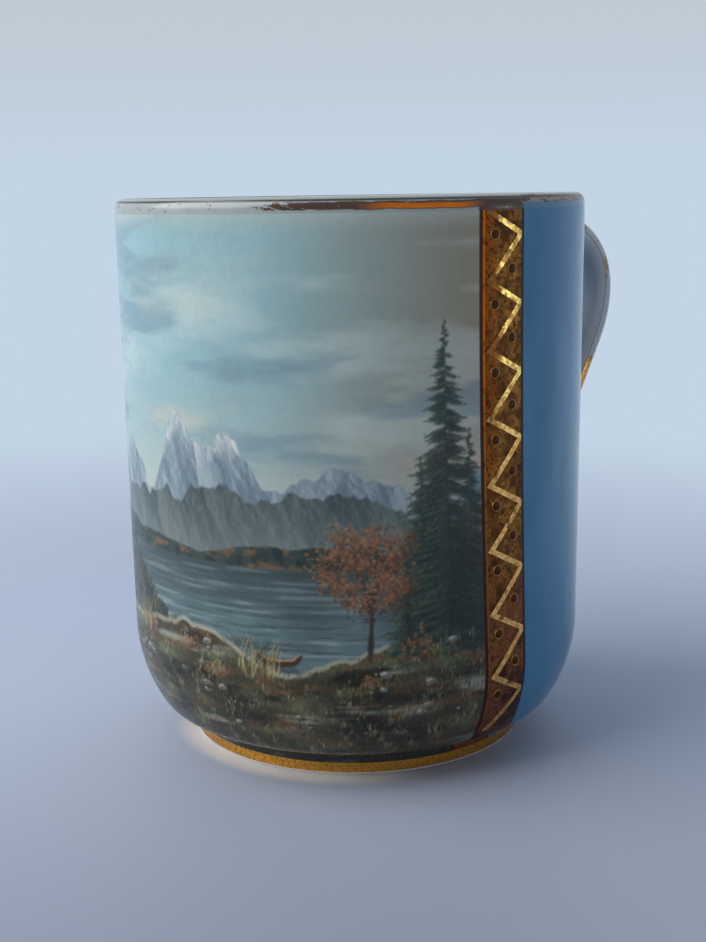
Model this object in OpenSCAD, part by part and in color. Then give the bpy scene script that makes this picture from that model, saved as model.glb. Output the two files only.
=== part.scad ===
// Mustache cup: a straight-sided porcelain mug with a lip guard inside the rim, an ear handle
// and fired-on enamel and gilding. Millimetres, +Z up. The origin lies on the cup's axis where
// the foot meets the table, the handle points along +X and the drinker sits on the -Y side.

/* [Body] */
// Diameter across the rim
rim_d = 80; // [74:0.5:90]
// Height from the table to the top of the rim
cup_h = 94; // [84:0.5:110]
// How much narrower the straight wall is at its lower end than at the rim
wall_taper = 1.2; // [0:0.1:4]
// Thickness of the porcelain wall and floor
wall_t = 3; // [2.2:0.1:4]
// Outer radius of the slow turn below the straight wall
turn_r = 25.6; // [20:0.1:30]
// Angle that the slow turn runs through
turn_angle = 31; // [25:1:38]
// Outer radius of the tight turn into the base
heel_r = 5.5; // [4.8:0.1:8]

/* [Foot ring] */
// Height of the foot ring, which is the lift of the base above the table
foot_h = 5; // [3.5:0.1:7]
// Distance of the foot ring from the edge of the flat base that it stands under
foot_inset = 1.68; // [0.5:0.01:8]
// Width of the foot ring
foot_w = 3.6; // [2.5:0.1:6]
// Radius of the ring's two lower edges
foot_round = 0.6; // [0.3:0.1:0.9]

/* [Lip guard] */
// Depth of the guard's top below the rim
guard_drop = 6; // [4:0.5:12]
// Thickness of the guard
guard_t = 3; // [2:0.1:4]
// Distance that the guard's two lobes reach in from the wall
guard_reach = 33; // [28:0.5:36]
// Radius of each lobe
lobe_r = 16; // [14:0.5:18]
// Distance between the centres of the lobes
lobe_spacing = 36; // [30:0.5:40]
// Radius of the hollow between the lobes
hollow_r = 12; // [8:0.5:16]
// Radius of the half-moon drinking slot
slot_r = 14; // [11:0.5:18]
// Depth of the slot from the wall inwards
slot_depth = 8.5; // [6:0.5:11]

/* [Handle] */
// Distance that the handle stands out from the rim
handle_reach = 26; // [22:0.5:32]
// Drop from the rim to the top of the handle
handle_drop = 5.5; // [4:0.5:12]
// Outer radius of the handle's crown
crown_r = 15; // [13:0.5:18]
// Outer radius of the cheek below the crown
cheek_r = 22; // [19:0.5:26]
// Slope of the lower stretch from upright, in degrees
handle_slant = 28; // [26:1:36]
// Turn of the tail into the wall, in degrees
tail_turn = 28; // [16:1:40]
// Radius of the tail's turn
tail_r = 12; // [8:0.5:18]
// Width of the handle across the crown
handle_w = 9; // [7:0.1:11]
// Thickness of the handle at the crown
handle_t = 6; // [4.5:0.1:7.5]
// Width of the handle at the tail
tail_w = 7; // [5:0.1:9]
// Thickness of the handle at the tail
tail_t = 5; // [4:0.1:6.5]
// Extra width and thickness where the handle spreads on to the wall
seat_flare = 3.5; // [1.5:0.1:5]
// Length over which each end spreads
flare_len = 9; // [6:0.5:12]

/* [Enamel] */
// Thickness of the enamel coats
enamel_t = 0.2; // [0.1:0.01:0.3]
// Bare porcelain kept round the handle's seats
handle_clear = 0.3; // [0.1:0.1:1]
// Angle from the handle to the middle of each ornament band
band_angle = 94; // [80:1:110]
// Width of each ornament band
band_w = 8.9; // [7.5:0.1:11]
// Width of the dark line along each side of a band
line_w = 0.55; // [0.4:0.05:1]
// Distance that a band drifts towards the handle on its way down to the table
band_drift = 2.8; // [0:0.1:4]
// Diameter of the enamel dots
dot_d = 1.8; // [0.8:0.1:2.2]
// Height of the dots above the band
dot_rise = 0.25; // [0.1:0.05:0.5]
// Distance of the dots from the outer points of the zigzag
dot_inset = 1.9; // [1:0.1:2.4]

/* [Gilding] */
// Thickness of the gilding
gilt_t = 0.1; // [0.06:0.01:0.2]
// Height of the gilt line round the rim
rim_gilt_h = 2.3; // [1.8:0.1:4]
// Height of the gilt line round the foot
foot_gilt_h = 1.8; // [1:0.1:2.4]
// Width of the gilt lines on the guard
guard_gilt_w = 1.2; // [0.6:0.1:2]
// Angle round the handle's section from its side to the start of each gilt line
handle_gilt_angle = 30; // [15:15:60]
// Width of the gilt stripe inside a band's line on the picture side
stripe_w = 0.4; // [0.2:0.1:1.4]
// Height of one repeat of the zigzag
zig_pitch = 10.5; // [8:0.1:14]
// Drop from the rim to the zigzag's first point on the handle side
zig_drop = 5.9; // [4:0.1:9]
// Distance that the zigzag's points on the picture side hang below the middle between their neighbours
zig_lean = 1.9; // [0:0.1:3]
// Width of the zigzag's bars, measured straight across the band
zig_bar = 1.4; // [0.9:0.1:2.4]
// Length that is cut off the zigzag's points on the handle side, measured straight across the band
zig_crop = 0.6; // [0:0.1:0.8]
// Room between the zigzag and what borders it
zig_clear = 0.1; // [0.1:0.05:0.7]

/* [Hidden] */
$fn = 128;
// Steps in each arc of the wall's section
arc_steps = 10;

// Upright section of the wall: arcs round three centres for the lip, the slow turn and the tight
// turn into the base, with lines that touch them. Points are [radius, height].
rim_r = rim_d / 2;
wall_low_r = rim_r - wall_taper / 2;
lip_r = wall_t / 2;
lip_c = [rim_r - lip_r, cup_h - lip_r];
turn_dir = [cos(turn_angle), -sin(turn_angle)];
turn_c = [wall_low_r - turn_r, foot_h + heel_r + (turn_r - heel_r) * sin(turn_angle)];
heel_c = turn_c + (turn_r - heel_r) * turn_dir;
foot_r = heel_c[0] - foot_inset;
wall_rise = lip_c - turn_c;
wall_lean = atan2(wall_rise[0], wall_rise[1]) - asin((turn_r - lip_r) / norm(wall_rise));
wall_normal = [cos(wall_lean), -sin(wall_lean)];

// Radius of the straight wall at height z, on a surface that lies depth outside the porcelain
function wall_radius(z, depth) =
    let (top = lip_c + (lip_r + depth) * wall_normal)
    top[0] + (z - top[1]) * tan(wall_lean);

// Points along an arc, its end left out
function arc(centre, radius, from, to) =
    [for (i = [0:arc_steps - 1])
        let (a = from + (to - from) * i / arc_steps) centre + radius * [cos(a), sin(a)]];

function backwards(points) = [for (i = [len(points) - 1:-1:0]) points[i]];

// Outline of the wall from the base up to the lip, on a surface that lies depth outside it
function wall_line(depth) =
    concat(arc(heel_c, heel_r + depth, -90, -turn_angle),
        arc(turn_c, turn_r + depth, -turn_angle, -wall_lean),
        [turn_c + (turn_r + depth) * wall_normal, lip_c + (lip_r + depth) * wall_normal]);

// Outline of the lip from the wall's top to an angle round its centre, first point left out
function lip_line(depth, to) =
    [for (i = [1:2 * arc_steps])
        let (a = -wall_lean + (to + wall_lean) * i / (2 * arc_steps))
        lip_c + (lip_r + depth) * [cos(a), sin(a)]];

// Outline up the side of the foot ring to the base
function foot_line(depth) = [[foot_r + depth, 0], [foot_r + depth, foot_h - depth]];

// Far enough to pass beyond every edge of the cup
beyond = 2 * (rim_d + cup_h);

// Decoration
paint_top = cup_h - rim_gilt_h;
paint_foot = foot_round + foot_gilt_h;
// Half of the turn that a band's coats are cut from, wide enough for the drift on the foot ring
band_reach = asin((band_w + band_drift) / foot_r);
// Steps along each side of a band
band_steps = 16;
zig_low = -band_w / 2 + line_w + stripe_w + zig_clear;
zig_high = band_w / 2 - line_w - zig_clear;
zig_foot = foot_h + heel_r / 2;
zig_top = cup_h - zig_drop + zig_pitch / 2;
zig_count = ceil((zig_top - zig_foot) / zig_pitch);
// Steep and flat bars of the zigzag, across and down, and the tilt of their ends that makes both
// equally thick
zig_steep = [zig_high + zig_crop - zig_low - zig_bar, zig_pitch / 2 + zig_lean];
zig_flat = [zig_steep[0], zig_pitch / 2 - zig_lean];
zig_tilt = (zig_steep[1] * norm(zig_flat) - zig_flat[1] * norm(zig_steep))
    / (norm(zig_flat) + norm(zig_steep)) / zig_steep[0];

// Handle centre line in the XZ plane: a level stub, the crown, the cheek, a slanted stretch and
// the tail that turns into the wall
crown_line_r = crown_r - handle_t / 2;
cheek_line_r = cheek_r - handle_t / 2;
tip_x = rim_r + handle_reach;
crown_c = [tip_x - crown_r, cup_h - handle_drop - crown_r];
cheek_c = [tip_x - cheek_r, crown_c[1]];
// The bar's slanted end has to lie wholly inside the round wall
handle_sink = (tail_t + seat_flare) / 2 * cos(handle_slant + tail_turn)
    + pow(tail_w + seat_flare, 2) / (4 * rim_d) + enamel_t;
cheek_end = cheek_c + cheek_line_r * [cos(handle_slant), -sin(handle_slant)];
tail_step = tail_r * [cos(handle_slant + tail_turn) - cos(handle_slant),
    sin(handle_slant) - sin(handle_slant + tail_turn)];
wall_end_x = wall_low_r - handle_sink;
stub_len = crown_c[0] - (rim_r - handle_sink);
crown_len = crown_line_r * PI / 2;
cheek_len = cheek_line_r * handle_slant * PI / 180;
slant_len = (cheek_end[0] + tail_step[0] - wall_end_x) / sin(handle_slant);
tail_len = tail_r * tail_turn * PI / 180;
crown_at = stub_len;
cheek_at = crown_at + crown_len;
slant_at = cheek_at + cheek_len;
tail_at = slant_at + slant_len;
handle_len = tail_at + tail_len;
slant_end = cheek_end - slant_len * [sin(handle_slant), cos(handle_slant)];
// Facets along and round the handle, and the one that carries a gilt line
handle_rings = 48;
handle_sides = 24;
gilt_side = handle_sides * handle_gilt_angle / 360;

// Place and heading of the handle's centre line after a length s: [x, z, heading]
function handle_line(s) =
    s < crown_at ? [crown_c[0] - crown_at + s, crown_c[1] + crown_line_r, 0]
    : s < cheek_at ? arc_point(crown_c, crown_line_r, 90 - 90 * (s - crown_at) / crown_len)
    : s < slant_at ? arc_point(cheek_c, cheek_line_r, -handle_slant * (s - cheek_at) / cheek_len)
    : s < tail_at ? concat(cheek_end - (s - slant_at) * [sin(handle_slant), cos(handle_slant)],
        [-90 - handle_slant])
    : tail_point(handle_slant + tail_turn * (s - tail_at) / tail_len);

function arc_point(centre, radius, angle) =
    concat(centre + radius * [cos(angle), sin(angle)], [angle - 90]);

function tail_point(angle) =
    concat(slant_end + tail_r * [cos(angle) - cos(handle_slant), sin(handle_slant) - sin(angle)],
        [-90 - angle]);

// Spread of the handle near its two ends, from 0 along the grip to 1 inside the wall
function flare(s) =
    let (near = min(s, handle_len - s) - handle_sink)
    pow(max(0, min(1, 1 - near / flare_len)), 2);

// Corner k of the handle's oval section after a length s, on a skin that lies grow outside it
function handle_corner(s, k, grow) =
    let (at = handle_line(s), part = s / handle_len, a = 360 * k / handle_sides)
    let (w = handle_w + (tail_w - handle_w) * part + seat_flare * flare(s))
    let (t = handle_t + (tail_t - handle_t) * part + seat_flare * flare(s))
    let (across = (w / 2 + grow) * cos(a), out = (t / 2 + grow) * sin(a))
    [at[0] - out * sin(at[2]), across, at[1] + out * cos(at[2])];

function ring_s(i) = handle_len * i / handle_rings;

// Section of a coat between two surfaces that lie lo and hi outside the porcelain, on the wall,
// the heel and the side of the foot ring
module coat_section(lo, hi) {
    intersection() {
        polygon(concat(foot_line(hi), wall_line(hi), backwards(concat(foot_line(lo), wall_line(lo)))));
        translate([0, paint_foot])
            square([beyond, paint_top - paint_foot]);
    }
}

// Coat between two surfaces, from one angle round to another
module coat(lo, hi, from, to) {
    rotate([0, 0, from])
        rotate_extrude(angle = to - from)
            coat_section(lo, hi);
}

// The cup as if it were solid, to trim what seats on its outside
module solid_cup() {
    rotate_extrude()
        polygon(concat([[0, foot_h]], wall_line(0), lip_line(0, 90), [[0, cup_h]]));
}

module cup_body() {
    color("whitesmoke")
        rotate_extrude()
            polygon(concat([[0, foot_h]], wall_line(0), lip_line(0, 180 - wall_lean),
                backwards(wall_line(-wall_t)), [[0, foot_h + wall_t]]));
}

module foot_ring() {
    color("white")
        rotate_extrude()
            translate([foot_r - foot_w, 0]) {
                translate([0, foot_round])
                    square([foot_w, foot_h - foot_round]);
                translate([foot_round, 0])
                    square([foot_w - 2 * foot_round, foot_round]);
                for (x = [foot_round, foot_w - foot_round])
                    translate([x, foot_round])
                        circle(foot_round);
            }
}

// Plan of the guard with its back edge drawn in by inset: two lobes and a hollow between them
module guard_plan(inset) {
    guard_wall_r = wall_radius(cup_h - guard_drop, -wall_t);
    lobe_y = guard_reach - guard_wall_r - lobe_r;
    hollow_y = lobe_y + sqrt(pow(lobe_r + hollow_r, 2) - pow(lobe_spacing / 2, 2));
    for (side = [-1, 1])
        translate([side * lobe_spacing / 2, lobe_y])
            circle(lobe_r - inset);
    difference() {
        polygon([[-lobe_spacing / 2, lobe_y], [lobe_spacing / 2, lobe_y], [0, hollow_y]]);
        translate([0, hollow_y])
            circle(hollow_r + inset);
    }
    translate([-rim_d, lobe_y - rim_d])
        square([2 * rim_d, rim_d]);
}

// Plan of the drinking slot, grown by margin
module slot_plan(margin) {
    guard_wall_r = wall_radius(cup_h - guard_drop, -wall_t);
    translate([0, slot_depth - guard_wall_r - slot_r])
        circle(slot_r + margin);
}

// Inside of the cup between two heights on the straight wall
module bore_between(z_low, z_high) {
    translate([0, 0, z_low])
        cylinder(h = z_high - z_low, r1 = wall_radius(z_low, -wall_t),
            r2 = wall_radius(z_high, -wall_t));
}

module lip_guard() {
    guard_top = cup_h - guard_drop;
    color("whitesmoke")
        intersection() {
            bore_between(guard_top - guard_t, guard_top);
            translate([0, 0, guard_top - 2 * guard_t])
                linear_extrude(3 * guard_t)
                    difference() {
                        guard_plan(0);
                        slot_plan(0);
                    }
        }
}

// The handle's bar from wall to wall, on a skin that lies grow outside it
module handle_bar(grow) {
    sides = handle_sides;
    corners = [for (i = [0:handle_rings], k = [0:sides - 1]) handle_corner(ring_s(i), k, grow)];
    skin = [for (i = [0:handle_rings - 1], k = [0:sides - 1], half = [0, 1])
        let (a = i * sides + k, b = i * sides + (k + 1) % sides)
        half == 0 ? [a, a + sides, b] : [b, a + sides, b + sides]];
    last = handle_rings * sides;
    start_cap = [[for (k = [0:sides - 1]) k]];
    end_cap = [[for (k = [sides - 1:-1:0]) last + k]];
    polyhedron(corners, concat(skin, start_cap, end_cap));
}

module handle() {
    color("gainsboro")
        difference() {
            handle_bar(0);
            solid_cup();
        }
}

module picture_panel() {
    color("slategray")
        difference() {
            coat(0, enamel_t, band_angle, 360 - band_angle);
            on_bands()
                band_strip(-band_w / 2, band_w);
        }
}

module blue_ground() {
    color("steelblue")
        difference() {
            coat(0, enamel_t, -band_angle, band_angle);
            on_bands()
                band_strip(-band_w, band_w / 2);
            handle_bar(handle_clear);
        }
}

// Draws its children on the front band, or mirrored on the rear one. A band is centred on +X,
// with the picture on its -Y side.
module on_band(front) {
    mirror([0, front ? 0 : 1, 0])
        rotate([0, 0, -band_angle])
            children();
}

// Cuts both bands' places out of a coat along its children's plan
module on_bands() {
    for (front = [true, false])
        on_band(front)
            through_band()
                children();
}

// How far a band has drifted towards the handle at height z
function band_shift(z) = band_drift * pow(1 - z / cup_h, 2);

// Plan across (x) and up (y) a band of what lies between two distances from its middle line
module band_strip(from, to) {
    middle = [for (i = [0:band_steps]) let (z = cup_h * i / band_steps) [band_shift(z), z]];
    polygon(concat([for (p = middle) p + [to, 0]], backwards([for (p = middle) p + [from, 0]])));
}

// The part of a coat on a band, between two surfaces, that lies within its children's plan
module band_coat(lo, hi) {
    intersection() {
        coat(lo, hi, -band_reach, band_reach);
        through_band()
            children();
    }
}

module band_ground(front) {
    half_w = band_w / 2 - line_w;
    color("peru")
        on_band(front)
            band_coat(0, enamel_t)
                band_strip(-half_w, half_w);
}

module band_lines(front) {
    color("maroon")
        on_band(front)
            for (from = [-band_w / 2, band_w / 2 - line_w])
                band_coat(0, enamel_t)
                    band_strip(from, from + line_w);
}

// Height of bend i of the zigzag before it leans: even ones lie on the picture side, odd ones on the
// handle side
function bend_z(i) = zig_top - i * zig_pitch / 2;

// Plan of the zigzag across (x) and up (y) the band, with the stripe beside it
module zigzag_plan() {
    bar = [1, zig_tilt] * zig_bar / 2;
    bends = [for (i = [-1:2 * zig_count])
        [(i % 2 == 0 ? zig_low + bar[0] : zig_high + zig_crop - bar[0]) + band_shift(bend_z(i)),
            bend_z(i) - (i % 2 == 0 ? zig_lean : 0)]];
    polygon(concat([for (p = bends) p - bar], backwards([for (p = bends) p + bar])));
    band_strip(line_w - band_w / 2, line_w + stripe_w - band_w / 2);
}

// Turns a plan of the band into a bar that stands out through it
module through_band() {
    rotate([90, 0, 90])
        linear_extrude(rim_d)
            children();
}

module zigzag(front) {
    color("gold")
        on_band(front)
            band_coat(enamel_t, enamel_t + gilt_t)
                intersection() {
                    zigzag_plan();
                    band_strip(line_w - band_w / 2, zig_high);
                    translate([-band_w, zig_foot])
                        square([2 * band_w, cup_h]);
                }
}

// Dots sit in the triangles of the zigzag, by turns on its two sides
module dots(front) {
    color("saddlebrown")
        on_band(front)
            band_coat(enamel_t, enamel_t + dot_rise)
                for (i = [1:2 * zig_count])
                    if (bend_z(i) > zig_foot + dot_d)
                        translate([(i % 2 == 0 ? zig_high - dot_inset : zig_low + dot_inset)
                            + band_shift(bend_z(i)), bend_z(i)])
                            circle(d = dot_d);
}

module rim_gilding() {
    color("goldenrod")
        rotate_extrude()
            intersection() {
                polygon(concat(wall_line(gilt_t), lip_line(gilt_t, 90),
                    backwards(concat(wall_line(0), lip_line(0, 90)))));
                translate([0, paint_top])
                    square([beyond, beyond]);
            }
}

module foot_gilding() {
    color("goldenrod")
        rotate_extrude()
            translate([foot_r, foot_round])
                square([gilt_t, foot_gilt_h]);
}

// One facet of the handle's side, raised by the gilding, from clear of one seat to the other
module handle_gilt_line(k) {
    first = ceil((handle_sink + flare_len / 2) / handle_len * handle_rings);
    last = handle_rings - first;
    count = last - first;
    corners = [for (i = [first:last], skin = [0, gilt_t], side = [k, k + 1])
        handle_corner(ring_s(i), side, skin)];
    faces = [for (i = [0:count - 1], edge = [[0, 1], [1, 3], [3, 2], [2, 0]], half = [0, 1])
        let (a = 4 * i + edge[0], b = 4 * i + edge[1])
        half == 0 ? [a, b, a + 4] : [b, b + 4, a + 4]];
    end = 4 * count;
    polyhedron(corners, concat(faces, [[0, 2, 3, 1], [end, end + 1, end + 3, end + 2]]));
}

module handle_gilding() {
    color("gold") {
        handle_gilt_line(gilt_side);
        handle_gilt_line(handle_sides / 2 - 1 - gilt_side);
    }
}

module guard_gilding() {
    guard_top = cup_h - guard_drop;
    color("gold")
        intersection() {
            bore_between(guard_top, guard_top + gilt_t);
            translate([0, 0, guard_top - guard_t])
                linear_extrude(2 * guard_t)
                    difference() {
                        guard_plan(0);
                        slot_plan(0);
                        difference() {
                            guard_plan(guard_gilt_w);
                            slot_plan(guard_gilt_w);
                        }
                    }
        }
}

cup_body();
foot_ring();
lip_guard();
handle();
picture_panel();
blue_ground();
band_ground(true);  // front_band_ground
band_ground(false);  // rear_band_ground
band_lines(true);  // front_band_lines
band_lines(false);  // rear_band_lines
zigzag(true);  // front_zigzag
zigzag(false);  // rear_zigzag
dots(true);  // front_dots
dots(false);  // rear_dots
rim_gilding();
foot_gilding();
handle_gilding();
guard_gilding();
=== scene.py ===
"""Dresses the mustache cup in glazed porcelain, painted and plain enamel, ornament bands and gilding."""

import logging
import math
from collections import Counter
from collections.abc import Callable, Iterator, Sequence
from contextlib import contextmanager
from dataclasses import dataclass
from enum import Enum
from itertools import pairwise

import bpy
import numpy as np
from mathutils import Matrix, Vector


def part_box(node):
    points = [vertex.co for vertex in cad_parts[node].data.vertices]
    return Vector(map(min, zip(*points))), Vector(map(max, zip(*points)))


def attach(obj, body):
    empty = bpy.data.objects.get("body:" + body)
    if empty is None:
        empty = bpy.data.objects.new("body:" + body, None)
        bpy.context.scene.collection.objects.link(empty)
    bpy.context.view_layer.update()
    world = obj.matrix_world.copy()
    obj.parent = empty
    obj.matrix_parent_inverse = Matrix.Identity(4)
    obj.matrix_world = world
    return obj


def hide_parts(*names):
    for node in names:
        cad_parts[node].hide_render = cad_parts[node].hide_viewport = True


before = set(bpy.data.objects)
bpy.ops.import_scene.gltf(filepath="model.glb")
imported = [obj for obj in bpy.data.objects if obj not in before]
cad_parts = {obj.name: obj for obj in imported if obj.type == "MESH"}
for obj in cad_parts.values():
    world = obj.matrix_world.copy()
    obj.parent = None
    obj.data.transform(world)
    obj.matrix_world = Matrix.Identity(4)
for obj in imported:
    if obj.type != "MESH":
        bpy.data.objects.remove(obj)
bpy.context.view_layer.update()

MM = 0.001
HAIR = MM / 1000
# Decimals of a metre that tell a sheet's rows and columns apart
DECIMALS = 7
ROOT = "root"
PHOTO_HEIGHT = 942
PAINT = "paint"
COAT_T = 0.2 * MM
GILT_T = 0.1 * MM
GUARD_ROUND = 0.9 * MM
SHARP = math.radians(60)
LATHE_STEPS = 160
# A screen's full level
FULL = 255
# Limits that hold most of a noise's values
CLOUD = (0.3, 0.7)
GLAZE_ROUGHNESS = 0.06
ENAMEL_IOR = 1.35

Point = tuple[float, float]
Place = tuple[float, float, float]
Colour = tuple[float, float, float]
Tones = tuple[Colour, Colour]
Array = np.ndarray
Turn = Callable[[Array, Array, Array], Array]
Piece, Material, Socket = bpy.types.Object, bpy.types.Material, bpy.types.NodeSocket

log = logging.getLogger("mustache_cup")


class Slot(Enum):
    """The record's material slots."""

    PORCELAIN = "porcelain"
    PICTURE = "picture_enamel"
    BLUE = "blue_enamel"
    LUSTRE = "band_lustre"
    RED = "red_enamel"
    GILDING = "gilding"
    DOT = "dot_enamel"


class Side(Enum):
    """The two ornament bands, by the sign of their angle from the handle."""

    FRONT = -1
    REAR = 1

    @property
    def word(self) -> str:
        """The word that this band's pieces start with."""
        return self.name.lower()


def unit(value: Array | float) -> Array | float:
    """Keeps a value from 0 to 1."""
    return np.clip(value, 0, 1)


def to_light(shown: Array) -> Array:
    """Turns colours as a screen shows them, 0 to 1, into linear light."""
    return np.where(shown <= 0.04045, shown / 12.92, ((shown + 0.055) / 1.055) ** 2.4)


def rgb(*shown: int) -> Colour:
    """Turns red, green and blue as a screen shows them, 0 to 255, into linear light."""
    return tuple(to_light(np.array(shown) / FULL).tolist())


# Modelling


def take(*pieces: Piece) -> None:
    """Selects pieces and nothing else, and makes the first one active.

    Args:
        pieces: The pieces.
    """
    bpy.ops.object.select_all(action="DESELECT")
    for piece in pieces:
        piece.select_set(True)
    bpy.context.view_layer.objects.active = pieces[0]


@contextmanager
def editing(piece: Piece) -> Iterator[bpy.types.Mesh]:
    """Opens a piece in edit mode with all of it selected.

    Args:
        piece: The piece to shape.

    Returns:
        Its mesh, for the time of the edit.
    """
    take(piece)
    bpy.ops.object.mode_set(mode="EDIT")
    bpy.ops.mesh.select_all(action="SELECT")
    yield piece.data
    bpy.ops.object.mode_set(mode="OBJECT")


def extrude(*step: float) -> None:
    """Extrudes what is selected in edit mode."""
    bpy.ops.mesh.extrude_region_move(TRANSFORM_OT_translate={"value": step})


def move(*step: float) -> None:
    """Moves what is selected in edit mode."""
    bpy.ops.transform.translate(value=step)


def face_out() -> None:
    """Selects everything in edit mode and turns its faces outward."""
    bpy.ops.mesh.select_all(action="SELECT")
    bpy.ops.mesh.normals_make_consistent(inside=False)


def primitive(name: str, operator: Callable[..., object], **sizes: object) -> Piece:
    """Adds a primitive and names it, and its mesh.

    Args:
        name: Name of the piece.
        operator: The operator that adds it.
        sizes: The operator's own settings.

    Returns:
        The new piece.
    """
    bpy.ops.object.select_all(action="DESELECT")
    operator(**sizes)
    piece = bpy.context.object
    piece.name = piece.data.name = name
    return piece


def corners_of(piece: Piece) -> Array:
    """Reads a piece's corners.

    Args:
        piece: The piece.

    Returns:
        Rows of x, y and z.
    """
    found = np.empty(3 * len(piece.data.vertices))
    piece.data.vertices.foreach_get("co", found)
    return found.reshape(-1, 3)


def place_corners(piece: Piece, corners: Array) -> None:
    """Moves a piece's corners to new places."""
    piece.data.vertices.foreach_set("co", corners.ravel())
    piece.data.update()


def modify(piece: Piece, kind: str, **settings: object) -> None:
    """Adds a modifier to a piece and applies it.

    Args:
        piece: The piece to change.
        kind: The modifier's type.
        settings: The modifier's own settings.
    """
    take(piece)
    modifier = piece.modifiers.new(kind.lower(), kind)
    for key, value in settings.items():
        setattr(modifier, key, value)
    bpy.ops.object.modifier_apply(modifier=modifier.name)


def smooth(piece: Piece, limit: float = math.radians(35)) -> Piece:
    """Shades a piece smooth up to an angle between its faces.

    Args:
        piece: The piece.
        limit: The angle.

    Returns:
        The same piece.
    """
    take(piece)
    bpy.ops.object.shade_smooth_by_angle(angle=limit)
    return piece


def join(pieces: Sequence[Piece]) -> Piece:
    """Joins pieces to the first one.

    Args:
        pieces: The pieces.

    Returns:
        The first one, with the others in it.
    """
    take(*pieces)
    bpy.ops.object.join()
    return pieces[0]


def draw_line(name: str, points: Sequence[Sequence[float]], closed: bool = True) -> Piece:
    """Draws a chain of edges, one extruded corner after the other.

    Args:
        name: Name of the piece.
        points: Places of the corners, x, y and z.
        closed: Whether the last corner joins the first.

    Returns:
        The piece, with the chain in it.
    """
    piece = primitive(name, bpy.ops.mesh.primitive_plane_add, size=MM)
    with editing(piece):
        bpy.ops.mesh.merge(type="CENTER")
        move(*points[0])
        for here, there in pairwise(points):
            extrude(*(Vector(there) - Vector(here)))
    if closed:
        with editing(piece) as mesh:
            bpy.ops.mesh.select_all(action="DESELECT")
            bpy.ops.object.mode_set(mode="OBJECT")
            uses = Counter(corner for edge in mesh.edges for corner in edge.vertices)
            for corner, count in uses.items():
                mesh.vertices[corner].select = count == 1
            bpy.ops.object.mode_set(mode="EDIT")
            bpy.ops.mesh.edge_face_add()
    return piece


def slab(name: str, outline: Sequence[Place], rise: float, steps: int = 1) -> Piece:
    """Fills a closed outline and raises it along +Z.

    Args:
        name: Name of the piece.
        outline: Places of its corners.
        rise: How high it is raised.
        steps: In how many equal lengths.

    Returns:
        The closed piece.
    """
    piece = draw_line(name, outline)
    with editing(piece):
        bpy.ops.mesh.edge_face_add()
        for _ in range(steps):
            extrude(0, 0, rise / steps)
        face_out()
    return piece


def lathe(name: str, section: Sequence[Point], closed: bool = True) -> Piece:
    """Spins an upright section round the cup's axis.

    Args:
        name: Name of the piece.
        section: Radius and height of the section's corners.
        closed: Whether the section is a closed ring that stays clear of the axis.

    Returns:
        The smooth turned piece.
    """
    piece = draw_line(name, [(r, 0.0, z) for r, z in section], closed)
    with editing(piece):
        bpy.ops.mesh.spin(steps=LATHE_STEPS, angle=math.tau, center=(0, 0, 0), axis=(0, 0, 1))
        bpy.ops.mesh.select_all(action="SELECT")
        bpy.ops.mesh.remove_doubles(threshold=HAIR)
        face_out()
    return smooth(piece)


def sheet(name: str, low: Point, high: Point, cell: float, thickness: float, lift: float = 0.0) -> Piece:
    """Lays out a flat sheet of fine squares, x across and y up, with a thickness towards +Z.

    Args:
        name: Name of the piece.
        low: Its lower left corner.
        high: Its upper right corner.
        cell: Largest side of a square.
        thickness: Its thickness.
        lift: Height of its underside.

    Returns:
        The closed sheet.
    """
    size = np.subtract(high, low)
    columns, rows = (max(2, math.ceil(side / cell)) for side in size)
    piece = primitive(name, bpy.ops.mesh.primitive_grid_add,
                      x_subdivisions=columns, y_subdivisions=rows, size=1)
    with editing(piece):
        bpy.ops.transform.resize(value=(*size.tolist(), 1), center_override=(0, 0, 0))
        move(*(np.add(low, high) / 2).tolist(), thickness)
    modify(piece, "SOLIDIFY", thickness=thickness, offset=-1)
    if lift:
        with editing(piece):
            move(0, 0, lift)
    return piece


def thin_underside(piece: Piece, spacing: float) -> None:
    """Dissolves most edges of a sheet's hidden underside, which needs no fine squares.

    Args:
        piece: A flat sheet, its underside at z = 0.
        spacing: About how far apart the edges that stay are.
    """
    mesh, corners = piece.data, corners_of(piece)
    ends = np.empty(2 * len(mesh.edges), np.int32)
    mesh.edges.foreach_get("vertices", ends)
    first, second = corners[ends[0::2]], corners[ends[1::2]]
    under = (first[:, 2] < HAIR) & (second[:, 2] < HAIR)
    goes = np.zeros(len(under), bool)
    for axis in (0, 1):
        places = np.unique(corners[:, axis].round(DECIMALS))
        stride = max(1, round(spacing / (places[1] - places[0])))
        kept = np.append(places[::stride], places[-1])
        along = np.isclose(first[:, axis], second[:, axis], atol=HAIR)
        goes |= under & along & ~np.isin(first[:, axis].round(DECIMALS), kept)
    mesh.vertices.foreach_set("select", np.zeros(len(mesh.vertices), bool))
    mesh.polygons.foreach_set("select", np.zeros(len(mesh.polygons), bool))
    mesh.edges.foreach_set("select", goes)
    take(piece)
    bpy.context.tool_settings.mesh_select_mode = (False, True, False)
    bpy.ops.object.mode_set(mode="EDIT")
    bpy.ops.mesh.dissolve_edges(use_verts=True)
    bpy.ops.object.mode_set(mode="OBJECT")
    bpy.context.tool_settings.mesh_select_mode = (True, False, False)


def copies(piece: Piece, steps: Sequence[Place]) -> Piece:
    """Copies a modelled piece to further places and joins the copies to it.

    Args:
        piece: The piece, modelled once.
        steps: How far each copy lies from the piece.

    Returns:
        The piece with all its copies.
    """
    made = [piece]
    for step in steps:
        take(piece)
        bpy.ops.object.duplicate()
        made.append(bpy.context.object)
        with editing(made[-1]):
            move(*step)
    return join(made)


# Finishes


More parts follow.
